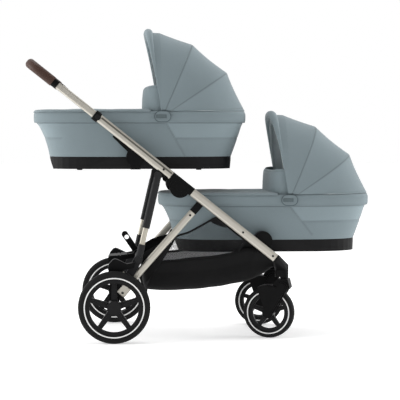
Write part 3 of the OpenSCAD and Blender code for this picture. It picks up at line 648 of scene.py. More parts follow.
FINISHES: dict[str, Finish] = {
    "tube": DrawnTube("champagne_tube", (0.5, 0.475, 0.42)),
    # Darkened copy of the tube finish: painted shade for the rail groove.
    "groove_shade_tube": DrawnTube("shaded_champagne", (0.12, 0.113, 0.095), metallic=0.6),
    "black": MouldedPlastic("black_plastic", BLACK),
    "grey": MouldedPlastic("grey_plastic", GREY, rough=0.5),
    "sleeve": BraidedSleeve("strut_sleeve", (0.011, 0.011, 0.012)),
    "leather": Leather("brown_leather", (0.034, 0.0175, 0.0125), (0.085, 0.046, 0.035)),
    "cloth": WovenCloth("blue_grey_cloth", shade(CLOTH, 0.9), shade(CLOTH, 1.1), shade(CLOTH, 1.17),
                        lining=(0.62, 0.68, 0.7)),
    "basket": WovenCloth("black_basket_cloth", (0.0035, 0.0035, 0.0037), (0.008, 0.008, 0.0083),
                         (0.013, 0.013, 0.0135), pitch=2.0 * MM, rough=0.8, sheen=0.02,
                         lining=(0.84, 0.84, 0.85)),
    "net": NetCloth("grey_net", (0.015, 0.015, 0.016)),
    "mattress": QuiltedKnit("white_knit", (0.72, 0.72, 0.69)),
    "tyre": TyreRubber("tyre_rubber", (0.008, 0.008, 0.0083)),
    "ring": CoatedMetal("pale_ring", (0.82, 0.82, 0.81), 0.0, 0.4),
    "rim": MouldedPlastic("rim_plastic", (0.009, 0.009, 0.0095), rough=0.36, depth=0.05 * MM, gloss=0.12),
    "rod": CoatedMetal("cream_coat", (0.46, 0.43, 0.36), 0.35, 0.36),
    "bow": MouldedPlastic("bow_sleeve", (0.42, 0.47, 0.485), rough=0.7, grain=500.0),
    "screw": CoatedMetal("black_oxide", (0.02, 0.02, 0.021), 0.8, 0.4),
    "thread": MouldedPlastic("waxed_thread", (0.12, 0.075, 0.06), rough=0.7),
    "plate": MouldedPlastic("cover_plate", (0.1, 0.126, 0.134), rough=0.6),
    # Painted shade: the dark ring round each hood cover.
    "shadow_cloth": MouldedPlastic("dark_blue_grey", (0.07, 0.092, 0.1), rough=0.7),
}
_made: dict[str, bpy.types.Material] = {}


def finish(key: str) -> bpy.types.Material:
    """The material of a finish, made once.

    Args:
        key: Name in FINISHES.

    Returns:
        The material.
    """
    if key not in _made:
        _made[key] = FINISHES[key].make()
    return _made[key]


NODE_FINISHES: list[tuple[str, str]] = [
    ("front_leg_", "tube"), ("upper_rail_", "tube"), ("handle_bar", "tube"), ("rear_leg_", "tube"),
    ("handle_grip", "leather"), ("leg_knuckle_", "grey"), ("push_button_", "rim"),
    ("strut_sleeves", "sleeve"), ("strut_rods", "rod"), ("frame_screws", "screw"),
    ("rear_tyre_", "tyre"), ("front_tyre_", "tyre"), ("rear_rim_", "rim"), ("front_rim_", "rim"),
    ("upper_mid_bow", "bow"), ("upper_front_bow", "bow"),
    ("lower_mid_bow", "bow"), ("lower_front_bow", "bow"),
]


def dress_node(name: str, material: bpy.types.Material) -> None:
    """Puts one material on a CAD node.

    Args:
        name: The node.
        material: What it gets.
    """
    mesh = frame["nodes"][name].data
    mesh.materials.clear()
    mesh.materials.append(material)


def dress_nodes() -> None:
    """Gives every CAD node the finish of its kind; black plastic is the rest."""
    for name in frame["nodes"]:
        key = next((k for start, k in NODE_FINISHES if name.startswith(start)), "black")
        dress_node(name, finish(key))
        log.info("node %s: %s", name, key)


def at(x: float, y: float, z: float) -> Vector:
    """Point from millimetres forward of the rear axle, left of the middle and above the ground."""
    return Vector((AXLE_X + x * MM, y * MM, z * MM))


def rail(s: float, n: float = 0.0) -> tuple[float, float]:
    """Side point on the rails.

    Args:
        s: Millimetres along the rail from its foot.
        n: Millimetres above its middle.

    Returns:
        Millimetres forward of the rear axle and above the ground.
    """
    c, w = math.cos(RAIL_ANGLE), math.sin(RAIL_ANGLE)
    return RAIL_FOOT[0] - s * c + n * w, RAIL_FOOT[1] + s * w + n * c


def along_rail(points: np.ndarray) -> tuple[np.ndarray, np.ndarray]:
    """The reverse of rail().

    Args:
        points: Side points, in millimetres, along the last axis.

    Returns:
        Each point's place along the rail and its height above the rail's middle.
    """
    c, w = math.cos(RAIL_ANGLE), math.sin(RAIL_ANGLE)
    x, z = points[..., 0] - RAIL_FOOT[0], points[..., 1] - RAIL_FOOT[1]
    return z * w - x * c, x * w + z * c


def even(points: np.ndarray, count: int, closed: bool = False) -> np.ndarray:
    """Points at even steps along a line.

    Args:
        points: The line's own points.
        count: How many to give.
        closed: Whether the last point joins the first.

    Returns:
        The new points.
    """
    line = np.vstack([points, points[:1]]) if closed else points
    along = np.concatenate([[0.0], np.cumsum(np.linalg.norm(np.diff(line, axis=0), axis=1))])
    where = np.linspace(0.0, along[-1], count + 1 if closed else count)
    where = where[:-1] if closed else where
    return np.stack([np.interp(where, along, line[:, k]) for k in range(line.shape[1])], axis=1)


def smooth_line(points: Sequence[Sequence[float]], per: int) -> np.ndarray:
    """Smooth line through points.

    Args:
        points: Points that it passes through.
        per: Steps to each span.

    Returns:
        Its points.
    """
    p = np.array(points, float)
    ends = np.vstack([2 * p[0] - p[1], p, 2 * p[-1] - p[-2]])
    steps = np.linspace(0.0, 1.0, per, endpoint=False)[:, None]
    spans = []
    for a, b, c, d in zip(ends[:-3], ends[1:-2], ends[2:-1], ends[3:]):
        spans.append(0.5 * (2 * b + (c - a) * steps + (2 * a - 5 * b + 4 * c - d) * steps**2
                            + (3 * b - a - 3 * c + d) * steps**3))
    return np.vstack([*spans, p[-1:]])


def ripple(points: np.ndarray, size: float, seed: float) -> np.ndarray:
    """Slow folds over a set of points, from -1 to 1.

    Args:
        points: Points, in metres, along the last axis.
        size: Length of a fold, in metres.
        seed: Shift that makes one pattern differ from the next.

    Returns:
        One number for each point.
    """
    x, y, z = (points[..., k] * (2 * math.pi / size) for k in range(3))
    return (np.sin(x + 1.7 * np.sin(0.6 * z + seed)) + np.sin(0.8 * y + 1.3 * x + 2.1 * seed)
            + np.sin(1.1 * z - 0.7 * y + 1.4 * np.sin(0.5 * x + seed))) / 3


def areas(grid: np.ndarray) -> float:
    """Area of a grid.

    Args:
        grid: Points by row and column, in metres.

    Returns:
        Square metres.
    """
    across = grid[1:, 1:] - grid[:-1, :-1]
    down = grid[1:, :-1] - grid[:-1, 1:]
    return float(np.linalg.norm(np.cross(across, down), axis=-1).sum() / 2)


def unit(vectors: np.ndarray) -> np.ndarray:
    """Vectors along the last axis, brought to length 1."""
    return vectors / np.linalg.norm(vectors, axis=-1)[..., None]


def ridge(gap: np.ndarray, width: float) -> np.ndarray:
    """Mark that is 1 on a line and fades within about a width of it."""
    return np.exp(-((gap / width) ** 2))


def signed_power(values: np.ndarray, power: float) -> np.ndarray:
    """Power of each value's size, with the value's own sign."""
    return np.sign(values) * np.abs(values) ** power


def points_of(mesh: bpy.types.Mesh) -> np.ndarray:
    """A mesh's points, in metres."""
    return np.array([v.co for v in mesh.vertices])


def move_points(mesh: bpy.types.Mesh, points: np.ndarray) -> None:
    """Moves a mesh's points to new places, in metres."""
    mesh.vertices.foreach_set("co", points.astype(np.float32).ravel())


def paint(mesh: bpy.types.Mesh, key: str, values: np.ndarray) -> None:
    """Keeps one value for each point of a mesh as an attribute."""
    attribute = mesh.attributes.new(key, "FLOAT", "POINT")
    attribute.data.foreach_set("value", values.astype(np.float32).ravel())


def shade_smooth(mesh: bpy.types.Mesh) -> None:
    """Shades every face of a mesh smooth."""
    mesh.polygons.foreach_set("use_smooth", [True] * len(mesh.polygons))


def put_in_scene(name: str, mesh: bpy.types.Mesh) -> bpy.types.Object:
    """Puts a mesh in the scene as an object at the origin."""
    piece = bpy.data.objects.new(name, mesh)
    bpy.context.scene.collection.objects.link(piece)
    return piece


def skin(name: str, grid: np.ndarray, wrap: bool = False,
         marks: Optional[dict[str, np.ndarray]] = None) -> bpy.types.Object:
    """Mesh over a grid of points, with its cloth coordinates.

    Args:
        name: Name of the piece.
        grid: Points by row and column, in metres.
        wrap: Whether the last column joins the first.
        marks: Values by attribute name, one for each point.

    Returns:
        The new object, at the origin.
    """
    rows, cols = grid.shape[:2]
    wide = np.concatenate([grid, grid[:, :1]], axis=1) if wrap else grid
    u = np.zeros(wide.shape[:2])
    u[:, 1:] = np.cumsum(np.linalg.norm(np.diff(wide, axis=1), axis=-1), axis=1)
    v = np.zeros(wide.shape[:2])
    v[1:] = np.cumsum(np.linalg.norm(np.diff(wide, axis=0), axis=-1), axis=0)
    u -= u[:, -1:] / 2
    i, j = np.meshgrid(np.arange(rows - 1), np.arange(wide.shape[1] - 1), indexing="ij")
    i, j = i.ravel(), j.ravel()
    corner = [(i, j), (i, j + 1), (i + 1, j + 1), (i + 1, j)]
    faces = np.stack([a * cols + b % cols for a, b in corner], axis=1)
    mesh = bpy.data.meshes.new(name)
    mesh.from_pydata(grid.reshape(-1, 3).tolist(), [], faces.tolist())
    layer = mesh.uv_layers.new(name=UV_NAME)
    flat = np.stack([np.stack([u[a, b], v[a, b]], axis=-1) for a, b in corner], axis=1)
    layer.data.foreach_set("uv", flat.astype(np.float32).ravel())
    for key, values in (marks or {}).items():
        paint(mesh, key, values)
    shade_smooth(mesh)
    return put_in_scene(name, mesh)


def tube(name: str, path: np.ndarray, radius: Union[float, np.ndarray], sides: int = 10,
         marks: Sequence[str] = ()) -> bpy.types.Object:
    """Round welt along a path, closed at both ends by small caps.

    Args:
        name: Name of the piece.
        path: Points along it, in metres.
        radius: Its radius, or one for each point.
        sides: Faces round it.
        marks: Attributes that are 1 all over it.

    Returns:
        The new object.
    """
    steep, cap = 0.2, 0.05
    ahead = unit(np.gradient(path, axis=0))
    first = np.cross(ahead, [0.0, 0.0, 1.0])
    weak = np.linalg.norm(first, axis=1) < steep
    first[weak] = np.cross(ahead[weak], [1.0, 0.0, 0.0])
    for k in range(1, len(first)):
        if first[k] @ first[k - 1] < 0:
            first[k] *= -1
    first = unit(first)
    second = np.cross(ahead, first)
    turn = np.linspace(0, 2 * math.pi, sides, endpoint=False)
    size = np.broadcast_to(np.asarray(radius, float), (len(path),))
    path = np.vstack([path[:1], path, path[-1:]])
    size = np.concatenate([size[:1] * cap, size, size[-1:] * cap])
    first, second = (np.vstack([v[:1], v, v[-1:]]) for v in (first, second))
    grid = path[:, None] + size[:, None, None] * (
        np.cos(turn)[None, :, None] * first[:, None] + np.sin(turn)[None, :, None] * second[:, None])
    return skin(name, grid, wrap=True, marks={key: np.ones(grid.shape[:2]) for key in marks})


class Bench:
    """Modelling by operators on one object at a time."""

    @staticmethod
    def only(piece: bpy.types.Object) -> None:
        """Selects one object and nothing else.

        Args:
            piece: The object, which also becomes the active one.
        """
        if bpy.context.object and bpy.context.object.mode != "OBJECT":
            bpy.ops.object.mode_set(mode="OBJECT")
        bpy.ops.object.select_all(action="DESELECT")
        piece.select_set(True)
        bpy.context.view_layer.objects.active = piece

    @staticmethod
    def clear() -> None:
        """Deselects every object."""
        bpy.ops.object.select_all(action="DESELECT")

    @staticmethod
    def named(name: str) -> bpy.types.Object:
        """Names the object just added and its mesh.

        Args:
            name: Its new name.

        Returns:
            The object.
        """
        piece = bpy.context.object
        piece.name = name
        piece.data.name = name
        return piece

    @staticmethod
    def settle(piece: bpy.types.Object) -> None:
        """Puts an object's place, turn and scale into its mesh."""
        Bench.only(piece)
        bpy.ops.object.transform_apply(location=True, rotation=True, scale=True)

    @staticmethod
    def block(name: str, size: Sequence[float], middle: Sequence[float] = (0.0, 0.0, 0.0),
              slope: float = 0.0) -> bpy.types.Object:
        """Adds a cube, gives it its size and slope, and puts it in its place.

        Args:
            name: Name of the piece.
            size: Length, width and height, in millimetres.
            middle: Its middle, in metres.
            slope: Turn about Y, in radians.

        Returns:
            The new object.
        """
        Bench.clear()
        bpy.ops.mesh.primitive_cube_add(size=1.0)
        piece = Bench.named(name)
        piece.scale = Vector(size) * MM
        piece.rotation_euler = (0.0, slope, 0.0)
        piece.location = middle
        Bench.settle(piece)
        return piece

    @staticmethod
    def edit(piece: bpy.types.Object, pick: Callable[[Vector], bool]) -> None:
        """Enters edit mode with some faces selected.

        Args:
            piece: Object to edit.
            pick: Says from a face's normal whether it is taken.
        """
        Bench.only(piece)
        bpy.ops.object.mode_set(mode="EDIT")
        bpy.ops.mesh.select_mode(type="FACE")
        bpy.ops.mesh.select_all(action="DESELECT")
        bm = bmesh.from_edit_mesh(piece.data)
        for face in bm.faces:
            if pick(face.normal):
                face.select_set(True)
        bm.select_flush(True)
        bmesh.update_edit_mesh(piece.data)

    @staticmethod
    def leave() -> None:
        """Leaves edit mode."""
        bpy.ops.object.mode_set(mode="OBJECT")

    @staticmethod
    def sink(piece: bpy.types.Object, sign: float, insets: Sequence[tuple[float, float]]) -> None:
        """Insets the faces on one side of a piece, one time after another.

        Args:
            piece: Object to edit.
            sign: Sign of Y of the side.
            insets: Thickness and depth of each inset, in millimetres.
        """
        Bench.edit(piece, lambda normal: normal.y * sign > 0.9)
        for thickness, depth in insets:
            bpy.ops.mesh.inset(thickness=thickness * MM, depth=depth * MM)
        Bench.leave()

    @staticmethod
    def modify(piece: bpy.types.Object, kind: str, **settings: object) -> None:
        """Adds a modifier and applies it.

        Args:
            piece: Object to change.
            kind: Blender's modifier type.
            settings: Its properties.
        """
        Bench.only(piece)
        modifier = piece.modifiers.new(kind.lower(), kind)
        for key, setting in settings.items():
            setattr(modifier, key, setting)
        bpy.ops.object.modifier_apply(modifier=modifier.name)

    @staticmethod
    def join(pieces: Sequence[bpy.types.Object], name: str) -> bpy.types.Object:
        """Joins objects into the first one.

        Args:
            pieces: Objects to join.
            name: Name of the result.

        Returns:
            The joined object.
        """
        Bench.only(pieces[0])
        for other in pieces[1:]:
            other.select_set(True)
        bpy.ops.object.join()
        return Bench.named(name)


def thicken(piece: bpy.types.Object, thickness: float, offset: float) -> None:
    """Gives a skin its thickness.

    Args:
        piece: Skin to thicken.
        thickness: Metres.
        offset: -1 puts it behind the skin's front and 1 before it.
    """
    Bench.modify(piece, "SOLIDIFY", thickness=thickness, offset=offset, use_rim=True)


def line_inside(piece: bpy.types.Object, count: int, hub: Vector,
                pick: Optional[Callable[[np.ndarray], np.ndarray]] = None) -> None:
    """Marks the inner face of a thickened cloth as its paler lining.

    Args:
        piece: The cloth, after thickening.
        count: How many points it had before.
        hub: A point inside it, which its inner face is nearer to.
        pick: Chooses among the points, in metres; all when left out.
    """
    points = points_of(piece.data)
    away = np.linalg.norm(points - np.array(hub), axis=1)
    first = away[:count].mean() < away[count:2 * count].mean()
    lined = np.ones(len(points), bool) if pick is None else pick(points)
    lined[slice(count, None) if first else slice(0, count)] = False
    paint(piece.data, "lining", lined)


def declare(grid: np.ndarray, rests_on: list[str], node: str) -> None:
    """Works out a cloth's area without keeping it, and hides the solid that the cloth stands for.

    Args:
        grid: The points that it was drawn from, in metres.
        rests_on: What holds it; not used.
        node: Node that it replaces.
    """
    areas(grid)
    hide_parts(node)


def wear(piece: bpy.types.Object, key: str) -> None:
    """Puts a finish on a new piece.

    Args:
        piece: The piece.
        key: Name in FINISHES.
    """
    piece.data.materials.clear()
    piece.data.materials.append(finish(key))
    log.info("piece %s: %s", piece.name, key)


@dataclass
class Carrycot:
    """One carrycot: tray, padded wall, apron, wind flap, hood and hood covers."""

    level: Level
    diagonal: tuple[tuple[float, float], tuple[float, float]]
    seam_height: float = 123.5
    foot_seam: float = 118.0
    base_height: float = 49.0
    rim_band: float = 47.0
    plan_power: float = 3.4
    hood_power: float = 2.7
    pivot: tuple[float, float] = (88.0, 210.0)
    hood_front: tuple[float, float] = (347.5, 98.9)
    hood_valley: tuple[float, float] = (341.0, 91.2)
    hood_middle: tuple[float, float] = (320.0, 66.8)
    hood_rear: tuple[float, float] = (323.0, 33.8)
    hood_inset: float = 3.0
    hood_thickness: float = 2.4
    hood_rise: float = 0.6
    hood_hub: float = 40.0
    bead: tuple[float, float] = (2.6, 18.0)
    apron_end: float = 40.0
    foot_drop: float = 6.0
    disc_inset: float = 17.5
    cover_height: float = 150.0
    press: Triple = (42.0, 3.0, 14.0)
    press_back: float = 6.0
    press_out: float = 6.6
    welt_radius: float = 22.4
    welt_stretch: float = 11.0
    welt_width: float = 2.2
    welt_depth: float = 2.6
    welt_out: float = 4.4
    columns: int = 420
    fine: int = 721
    origin: Vector = field(default_factory=Vector)
    half_length: float = 0.0
    half_width: float = 0.0
    rim_top: float = 0.0

    def __post_init__(self) -> None:
        """Reads the carrycot's place and sizes, in millimetres, from its nodes."""
        low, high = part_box(self.node("cot_tub"))
        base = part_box(self.node("cot_base"))[0]
        self.origin = Vector(((low.x + high.x) / 2, 0.0, base.z + self.foot_drop * MM))
        self.half_length = (high.x - low.x) / 2 / MM
        self.half_width = (high.y - low.y) / 2 / MM
        self.rim_top = (high.z - self.origin.z) / MM

    def node(self, word: str) -> str:
        """Name of one of this carrycot's nodes."""
        return f"{self.level.value}_{word}"

    @property
    def body(self) -> str:
        """Body that the wall and the base ride on."""
        return self.node("cot")

    @property
    def band(self) -> float:
        """Height of the rim band's lower edge."""
        return self.rim_top - self.rim_band

    def world(self, points: np.ndarray) -> np.ndarray:
        """Points from the carrycot's millimetres to metres in the shared frame."""
        return points * MM + np.array(self.origin)

    def plan(self, foot: float, head: float, half: float, count: int) -> np.ndarray:
        """Outline of the carrycot seen from above.

        Args:
            foot: Foot end, forward of the middle.
            head: Head end.
            half: Half the width.
            count: Points round it.

        Returns:
            Points at even steps, in millimetres.
        """
        t = np.linspace(0, 2 * math.pi, 1440, endpoint=False)
        bend = 2 / self.plan_power
        x = (foot + head) / 2 + (head - foot) / 2 * signed_power(np.cos(t), bend)
        y = half * signed_power(np.sin(t), bend)
        return even(np.stack([x, y], axis=1), count, closed=True)

    def wall_rows(self) -> np.ndarray:
        """Profile of the wall, from the base over the rim to the floor.

        Returns:
            Rows of its insets at foot, head and side, and its height, in millimetres.
        """
        low, band = self.base_height + 0.2, self.band
        rise = band - self.base_height
        up = [low + rise * f for f in (0.0, 0.3, 0.62, 0.88, 0.97)]
        outer = [(64, 60, 23, up[0]), (56, 46, 19, up[1]), (42, 31, 14, up[2]), (24, 19, 10, up[3]),
                 (14, 13, 8, up[4]), (12, 12, 8, band)]
        rim = [(2.6, 2.6, 2.2, band + 1), (0.6, 0.6, 0.5, band + 8), (0, 0, 0, band + 22),
               (0.5, 0.5, 0.5, self.rim_top - 12), (4, 4, 4, self.rim_top - 2.5), (9, 9, 9, self.rim_top)]
        inner = [(15, 15, 15, self.rim_top - 3), (18, 18, 17, self.rim_top - 14), (21, 19, 16, band),
                 (51, 40, 23, up[2]), (73, 69, 32, low)]
        return np.vstack([smooth_line(outer, 9), smooth_line(rim, 5), smooth_line(inner, 6)])

    def seam_gap(self, x: np.ndarray, z: np.ndarray) -> tuple[np.ndarray, np.ndarray]:
        """Distance to the wall's sewn lines, and the mark of the paler panel together with the painted
        highlight on the foot end.

        Args:
            x: Forward of the carrycot's middle, in millimetres.
            z: Above its bottom.

        Returns:
            Distance in millimetres and a mark from 0 to 1.
        """
        blur, strength = 40.0, 0.7
        (x1, z1), (x2, z2) = self.diagonal
        length = (x2 - x1) ** 2 + (z2 - z1) ** 2
        share = np.clip(((x - x1) * (x2 - x1) + (z - z1) * (z2 - z1)) / length, 0, 1)
        slant = np.hypot(x - x1 - share * (x2 - x1), z - z1 - share * (z2 - z1))
        along = x1 + (x2 - x1) * (z1 - self.seam_height) / (z1 - z2)
        level = np.hypot(np.minimum(x - along, 0), z - self.seam_height)
        ahead = x - (x1 + (x2 - x1) * (z1 - z) / (z1 - z2))
        between = (z > self.seam_height) & (z < self.band + 1)
        inside = ((ahead > 0) & between).astype(float)
        end = self.foot_seam - self.half_length
        foot = np.hypot(np.maximum(x - end, 0), z - self.seam_height)
        # Painted highlight: a paler band on the curved foot end, between the seams, fading along the wall.
        foot_highlight = np.clip((end - x) / blur, 0, 1) * between
        return np.minimum(np.minimum(slant, level), foot), np.maximum(inside, strength * foot_highlight)

    def build_wall(self) -> bpy.types.Object:
        """The padded wall with its rim band, sewn lines, stitching rows and a painted shade line under the
        band.

        Returns:
            The new piece.
        """
        rows = self.wall_rows()
        length, half = self.half_length, self.half_width
        grid = np.zeros((len(rows), self.columns, 3))
        for k, (foot, head, side, z) in enumerate(rows):
            grid[k, :, :2] = self.plan(foot - length, length - head, half - side, self.columns)
            grid[k, :, 2] = z
        shown, stitch_height = 0.72, 7.0
        outside = np.arange(len(rows)) < len(rows) * shown
        normal = np.zeros_like(grid)
        ring = np.roll(grid, -1, axis=1) - np.roll(grid, 1, axis=1)
        normal[..., 0], normal[..., 1] = ring[..., 1], -ring[..., 0]
        x, z = grid[..., 0], grid[..., 2]
        # The panel mark is the real paler panel at the head end plus the painted highlight on the foot end.
        gap, panel = self.seam_gap(x, z)
        face = outside[:, None] * np.ones_like(x)
        groove = ridge(gap, 3.2) * face
        stitch = ridge(np.abs(z - self.band - stitch_height), 1.7) * face
        # Painted shade: a dark line along the lower edge of the rim band, where the band overhangs the wall.
        shade_under_band = ridge(z - self.band, 2.4) * face
        swell = np.clip((z - self.base_height) / (self.band - self.base_height), 0, 1)
        puff = 1.6 * np.sin(math.pi * swell) * face
        wave = 0.7 * ripple(grid * MM, 0.24, 1.0) * face
        out = puff + wave - 1.7 * groove - 0.5 * stitch
        grid = grid + unit(normal) * out[..., None]
        # The seam mark holds the sewn lines, the stitching rows and the painted shade under the band.
        seam = np.maximum(np.maximum(groove * 0.6, stitch * 0.25), 0.8 * shade_under_band)
        piece = skin(self.node("cot_wall"), self.world(grid), wrap=True,
                     marks={"seam": seam, "panel": panel * face})
        wear(piece, "cloth")
        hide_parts(self.node("cot_tub"))
        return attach(piece, self.body)

    def rim_half(self, x: np.ndarray, half: float) -> np.ndarray:
        """Half width of the rim at a place along the carrycot."""
        share = np.minimum(np.abs(x) / self.half_length, 1.0)
        return half * (1 - share**self.plan_power) ** (1 / self.plan_power)

    def build_apron(self) -> bpy.types.Object:
        """The apron stretched over the foot half, with a stitched hem round its edge.

        Returns:
            The new piece.
        """
        rows, cols = 76, 81
        length, width, p = self.half_length, self.half_width, self.plan_power
        lift, thickness, crown, inset, hem = 0.5, 2.4, 5.0, 1.6, 14.0
        back = inset - length
        steps = back + (self.apron_end - back) * np.linspace(0, 1, rows) ** 1.7
        x = np.repeat(steps[:, None], cols, axis=1)
        side = np.sin(np.linspace(-math.pi / 2, math.pi / 2, cols))[None, :]
        y = self.rim_half(np.minimum(x, -1.0) * (length / (length - inset * 0.5)), width - inset) * side
        u, v = np.abs(x) / length, np.abs(y) / width
        q = (u**p + v**p) ** (1 / p)
        steep = np.hypot((u / q) ** (p - 1) / length, (v / q) ** (p - 1) / width)
        depth = (1 - q) / np.maximum(steep, 1e-6)
        drop = np.interp(depth, [0.5, 1.5, 4.0, 6.5, 9.5], [-10.0, -6.5, -2.6, -0.8, 0.0])
        share = np.clip(1 - u**p - (np.abs(y) / (width - 6)) ** p, 0, 1)
        grid = np.stack([x, y, self.rim_top + lift + thickness + drop + crown * share], axis=-1)
        loose = np.clip(share * 3, 0, 1)
        grid[..., 2] += loose * (1.3 * ripple(grid * MM, 0.21, 3.0) + 0.8 * ripple(grid * MM, 0.09, 5.0))
        stitch = ridge(depth - hem, 1.8)
        grid[..., 2] -= 0.5 * stitch
        piece = skin(self.node("apron_cloth"), self.world(grid), marks={"seam": stitch * 0.4})
        thicken(piece, thickness * MM, -1.0)
        wear(piece, "cloth")
        declare(self.world(grid), [self.node("cot_wall")], self.node("apron"))
        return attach(piece, self.body)

    def build_flap(self) -> bpy.types.Object:
        """The wind flap that stands at the apron's head side.

        Returns:
            The new piece.
        """
        rows, cols = 26, 121
        inset, front, depth, power, height, lean, thickness = 15.1, 10.1, 100.0, 4.0, 104.0, 5.0, 2.0
        lift, side_drop, crown_dip, straight, roll, hem = 8.4, 15.0, 7.0, 42.0, 7.0, 9.0
        half = self.half_width - inset
        t = np.linspace(-math.pi / 2, math.pi / 2, cols)
        bend = 2 / power
        line = even(np.stack([front + depth * (1 - np.abs(np.cos(t)) ** bend),
                              half * signed_power(np.sin(t), bend)], axis=1), cols)
        s = np.linspace(0, 1, rows)[:, None]
        x, y = line[None, :, 0] + lean * s, line[None, :, 1] + 0 * s
        beside = np.clip((np.abs(y) / half) ** 6, 0, 1)
        foot = self.rim_top + lift - side_drop * beside
        crown = self.rim_top + height - crown_dip * (1 - beside)
        back = np.clip((line[None, :, 0] - front - straight) / (depth - straight), 0, 1)
        z = foot + (crown - foot) * s * (1 - 0.8 * back**2)
        x = x + roll * np.clip((s - 0.86) / 0.14, 0, 1) ** 2 * np.clip((self.apron_end - x) / 20.0, 0, 1)
        grid = np.stack([x, y, z], axis=-1)
        free = np.clip((self.apron_end - x) / 25.0, 0, 1)
        grid[..., 0] += free * (1.2 * s * ripple(grid * MM, 0.16, 2.0) - 1.5 * np.sin(math.pi * s))
        stitch = ridge((1 - s) * height - hem + 0 * x, 2.0)
        piece = skin(self.node("wind_flap"), self.world(grid), marks={"seam": stitch * 0.5})
        thicken(piece, thickness * MM, 0.0)
        wear(piece, "cloth")
        declare(self.world(grid), [self.node("apron_cloth")], self.node("apron"))
        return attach(piece, self.body)

    def arch(self, reach: float, angle: float, count: int, half: float) -> np.ndarray:
        """Points of a hood arch from the right rim over the top to the left rim.

        Args:
            reach: Distance of its top from the pivot.
            angle: Its slope, in degrees above forward.
            count: Points along it.
            half: Half its width.

        Returns:
            Points at even steps, in millimetres.
        """
        a = math.radians(angle)
        low = self.rim_top + self.hood_rise - self.pivot[1]
        out, y = self.hood_curve(low / math.sin(a), reach, half)
        line = np.stack([self.pivot[0] + out * math.cos(a), y, self.pivot[1] + out * math.sin(a)], axis=1)
        return even(line, count)

    def hood_curve(self, low: float, reach: float, half: float) -> tuple[np.ndarray, np.ndarray]:
        """Curve of a hood arch or of its hem, in its own plane.

        Args:
            low: Distance of its ends from the pivot.
            reach: Distance of its top.
            half: Half its width.

        Returns:
            Distances from the pivot and across.
        """
        start = math.asin((low / reach) ** (self.hood_power / 2))
        t = np.linspace(math.pi - start, start, self.fine)
        bend = 2 / self.hood_power
        return reach * np.abs(np.sin(t)) ** bend, half * signed_power(np.cos(t), bend)

    def hem(self, count: int, half: float) -> np.ndarray:
        """Points of the hood's lower edge round the head end.

        Args:
            count: Points along it.
            half: Half its width.

        Returns:
            Points at even steps, in millimetres.
        """
        side, inset = 165.0, 4.0
        out, y = self.hood_curve(side, self.half_length - inset - self.pivot[0], half)
        z = 0 * out + self.rim_top + self.hood_rise
        return even(np.stack([self.pivot[0] + out, y, z], axis=1), count)

    def outward(self, grid: np.ndarray) -> np.ndarray:
        """Directions of points away from the middle of the hood."""
        return unit(grid - self.hub)

    @property
    def hub(self) -> np.ndarray:
        """Middle of the hood, in the carrycot's millimetres."""
        return np.array([self.pivot[0], 0.0, self.pivot[1] + self.hood_hub])

    def panel(self, first: np.ndarray, last: np.ndarray, rows: int, sag: float) -> np.ndarray:
        """Cloth drawn between two lines, slack in its middle.

        Args:
            first: Points of one line.
            last: Points of the other.
            rows: Rows of points.
            sag: Millimetres that its middle is drawn in.

        Returns:
            Grid of points, in millimetres.
        """
        ease = np.linspace(0, 1, rows)
        s = (0.55 * ease + 0.45 * (1 - np.cos(math.pi * ease)) / 2)[:, None, None]
        grid = first[None] * (1 - s) + last[None] * s
        width = np.linalg.norm(last - first, axis=-1)[None, :, None]
        slack = sag * np.minimum(width / 150.0, 1.0) * 4 * s * (1 - s)
        return grid - self.outward(grid) * slack

    @staticmethod
    def gap_to(grid: np.ndarray, row: int) -> np.ndarray:
        """Distance of each point of a grid from one row of it."""
        return np.linalg.norm(grid - grid[row][None], axis=-1)

    def build_hood(self) -> list[bpy.types.Object]:
        """The hood's cloth: the back over the middle bow, and the front panel with its bead.

        Returns:
            The two pieces.
        """
        cols, half = 121, self.half_width - self.hood_inset
        front = self.arch(*self.hood_front, cols, half)
        middle = self.arch(*self.hood_middle, cols, half)
        rear = self.arch(*self.hood_rear, cols, half)
        hem = self.hem(cols, half)
        over = self.panel(middle, rear, 30, 4.0)
        behind = self.panel(rear, hem, 30, 3.0)
        back = np.concatenate([over, behind[1:]])
        seam_width, hem_line, hem_width = 2.6, 11.0, 2.2
        sewn = np.minimum(self.gap_to(back, len(over) - 1), self.gap_to(back, 0))
        seam = ridge(sewn, seam_width) + 0.5 * ridge(self.gap_to(back, -1) - hem_line, hem_width)
        pieces = [self.hood_piece("hood_back", back, seam, [])]
        valley = self.arch(*self.hood_valley, cols, half)
        ahead = np.concatenate([self.panel(middle, valley, 28, 2.0), self.panel(valley, front, 9, 0.0)[1:]])
        seam = ridge(self.gap_to(ahead, 0), seam_width)
        rise = np.clip((front[:, 2] - self.rim_top) / (front[:, 2].max() - self.rim_top), 0, 1)
        thin, thick = self.bead
        bead = tube(self.node("hood_bead"), self.world(front), (thin + (thick - thin) * rise**3) * MM, 18)
        pieces.append(self.hood_piece("hood_front", ahead[::-1], seam[::-1], [bead]))
        self.fold(pieces[0], (self.body, self.node("mid_bow_body")), 45.0, -60.0, 30.0)
        turn = (self.hood_middle[1] + self.hood_front[1]) / 2
        self.fold(pieces[1], (self.node("mid_bow_body"), self.node("front_bow_body")), turn, -30.0, 30.0)
        return pieces

    def fold(self, piece: bpy.types.Object, bodies: tuple[str, str], slope: float, low: float,
             high: float) -> None:
        """Bakes a hood piece's place into its mesh; the piece is not bent.

        Args:
            piece: Hood cloth.
            bodies: The two bodies; not used.
            slope: The plane's slope, in degrees above forward; not used.
            low: Distance behind the plane where the second body begins to lead; not used.
            high: Distance before it where the second body leads fully; not used.
        """
        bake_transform(piece)

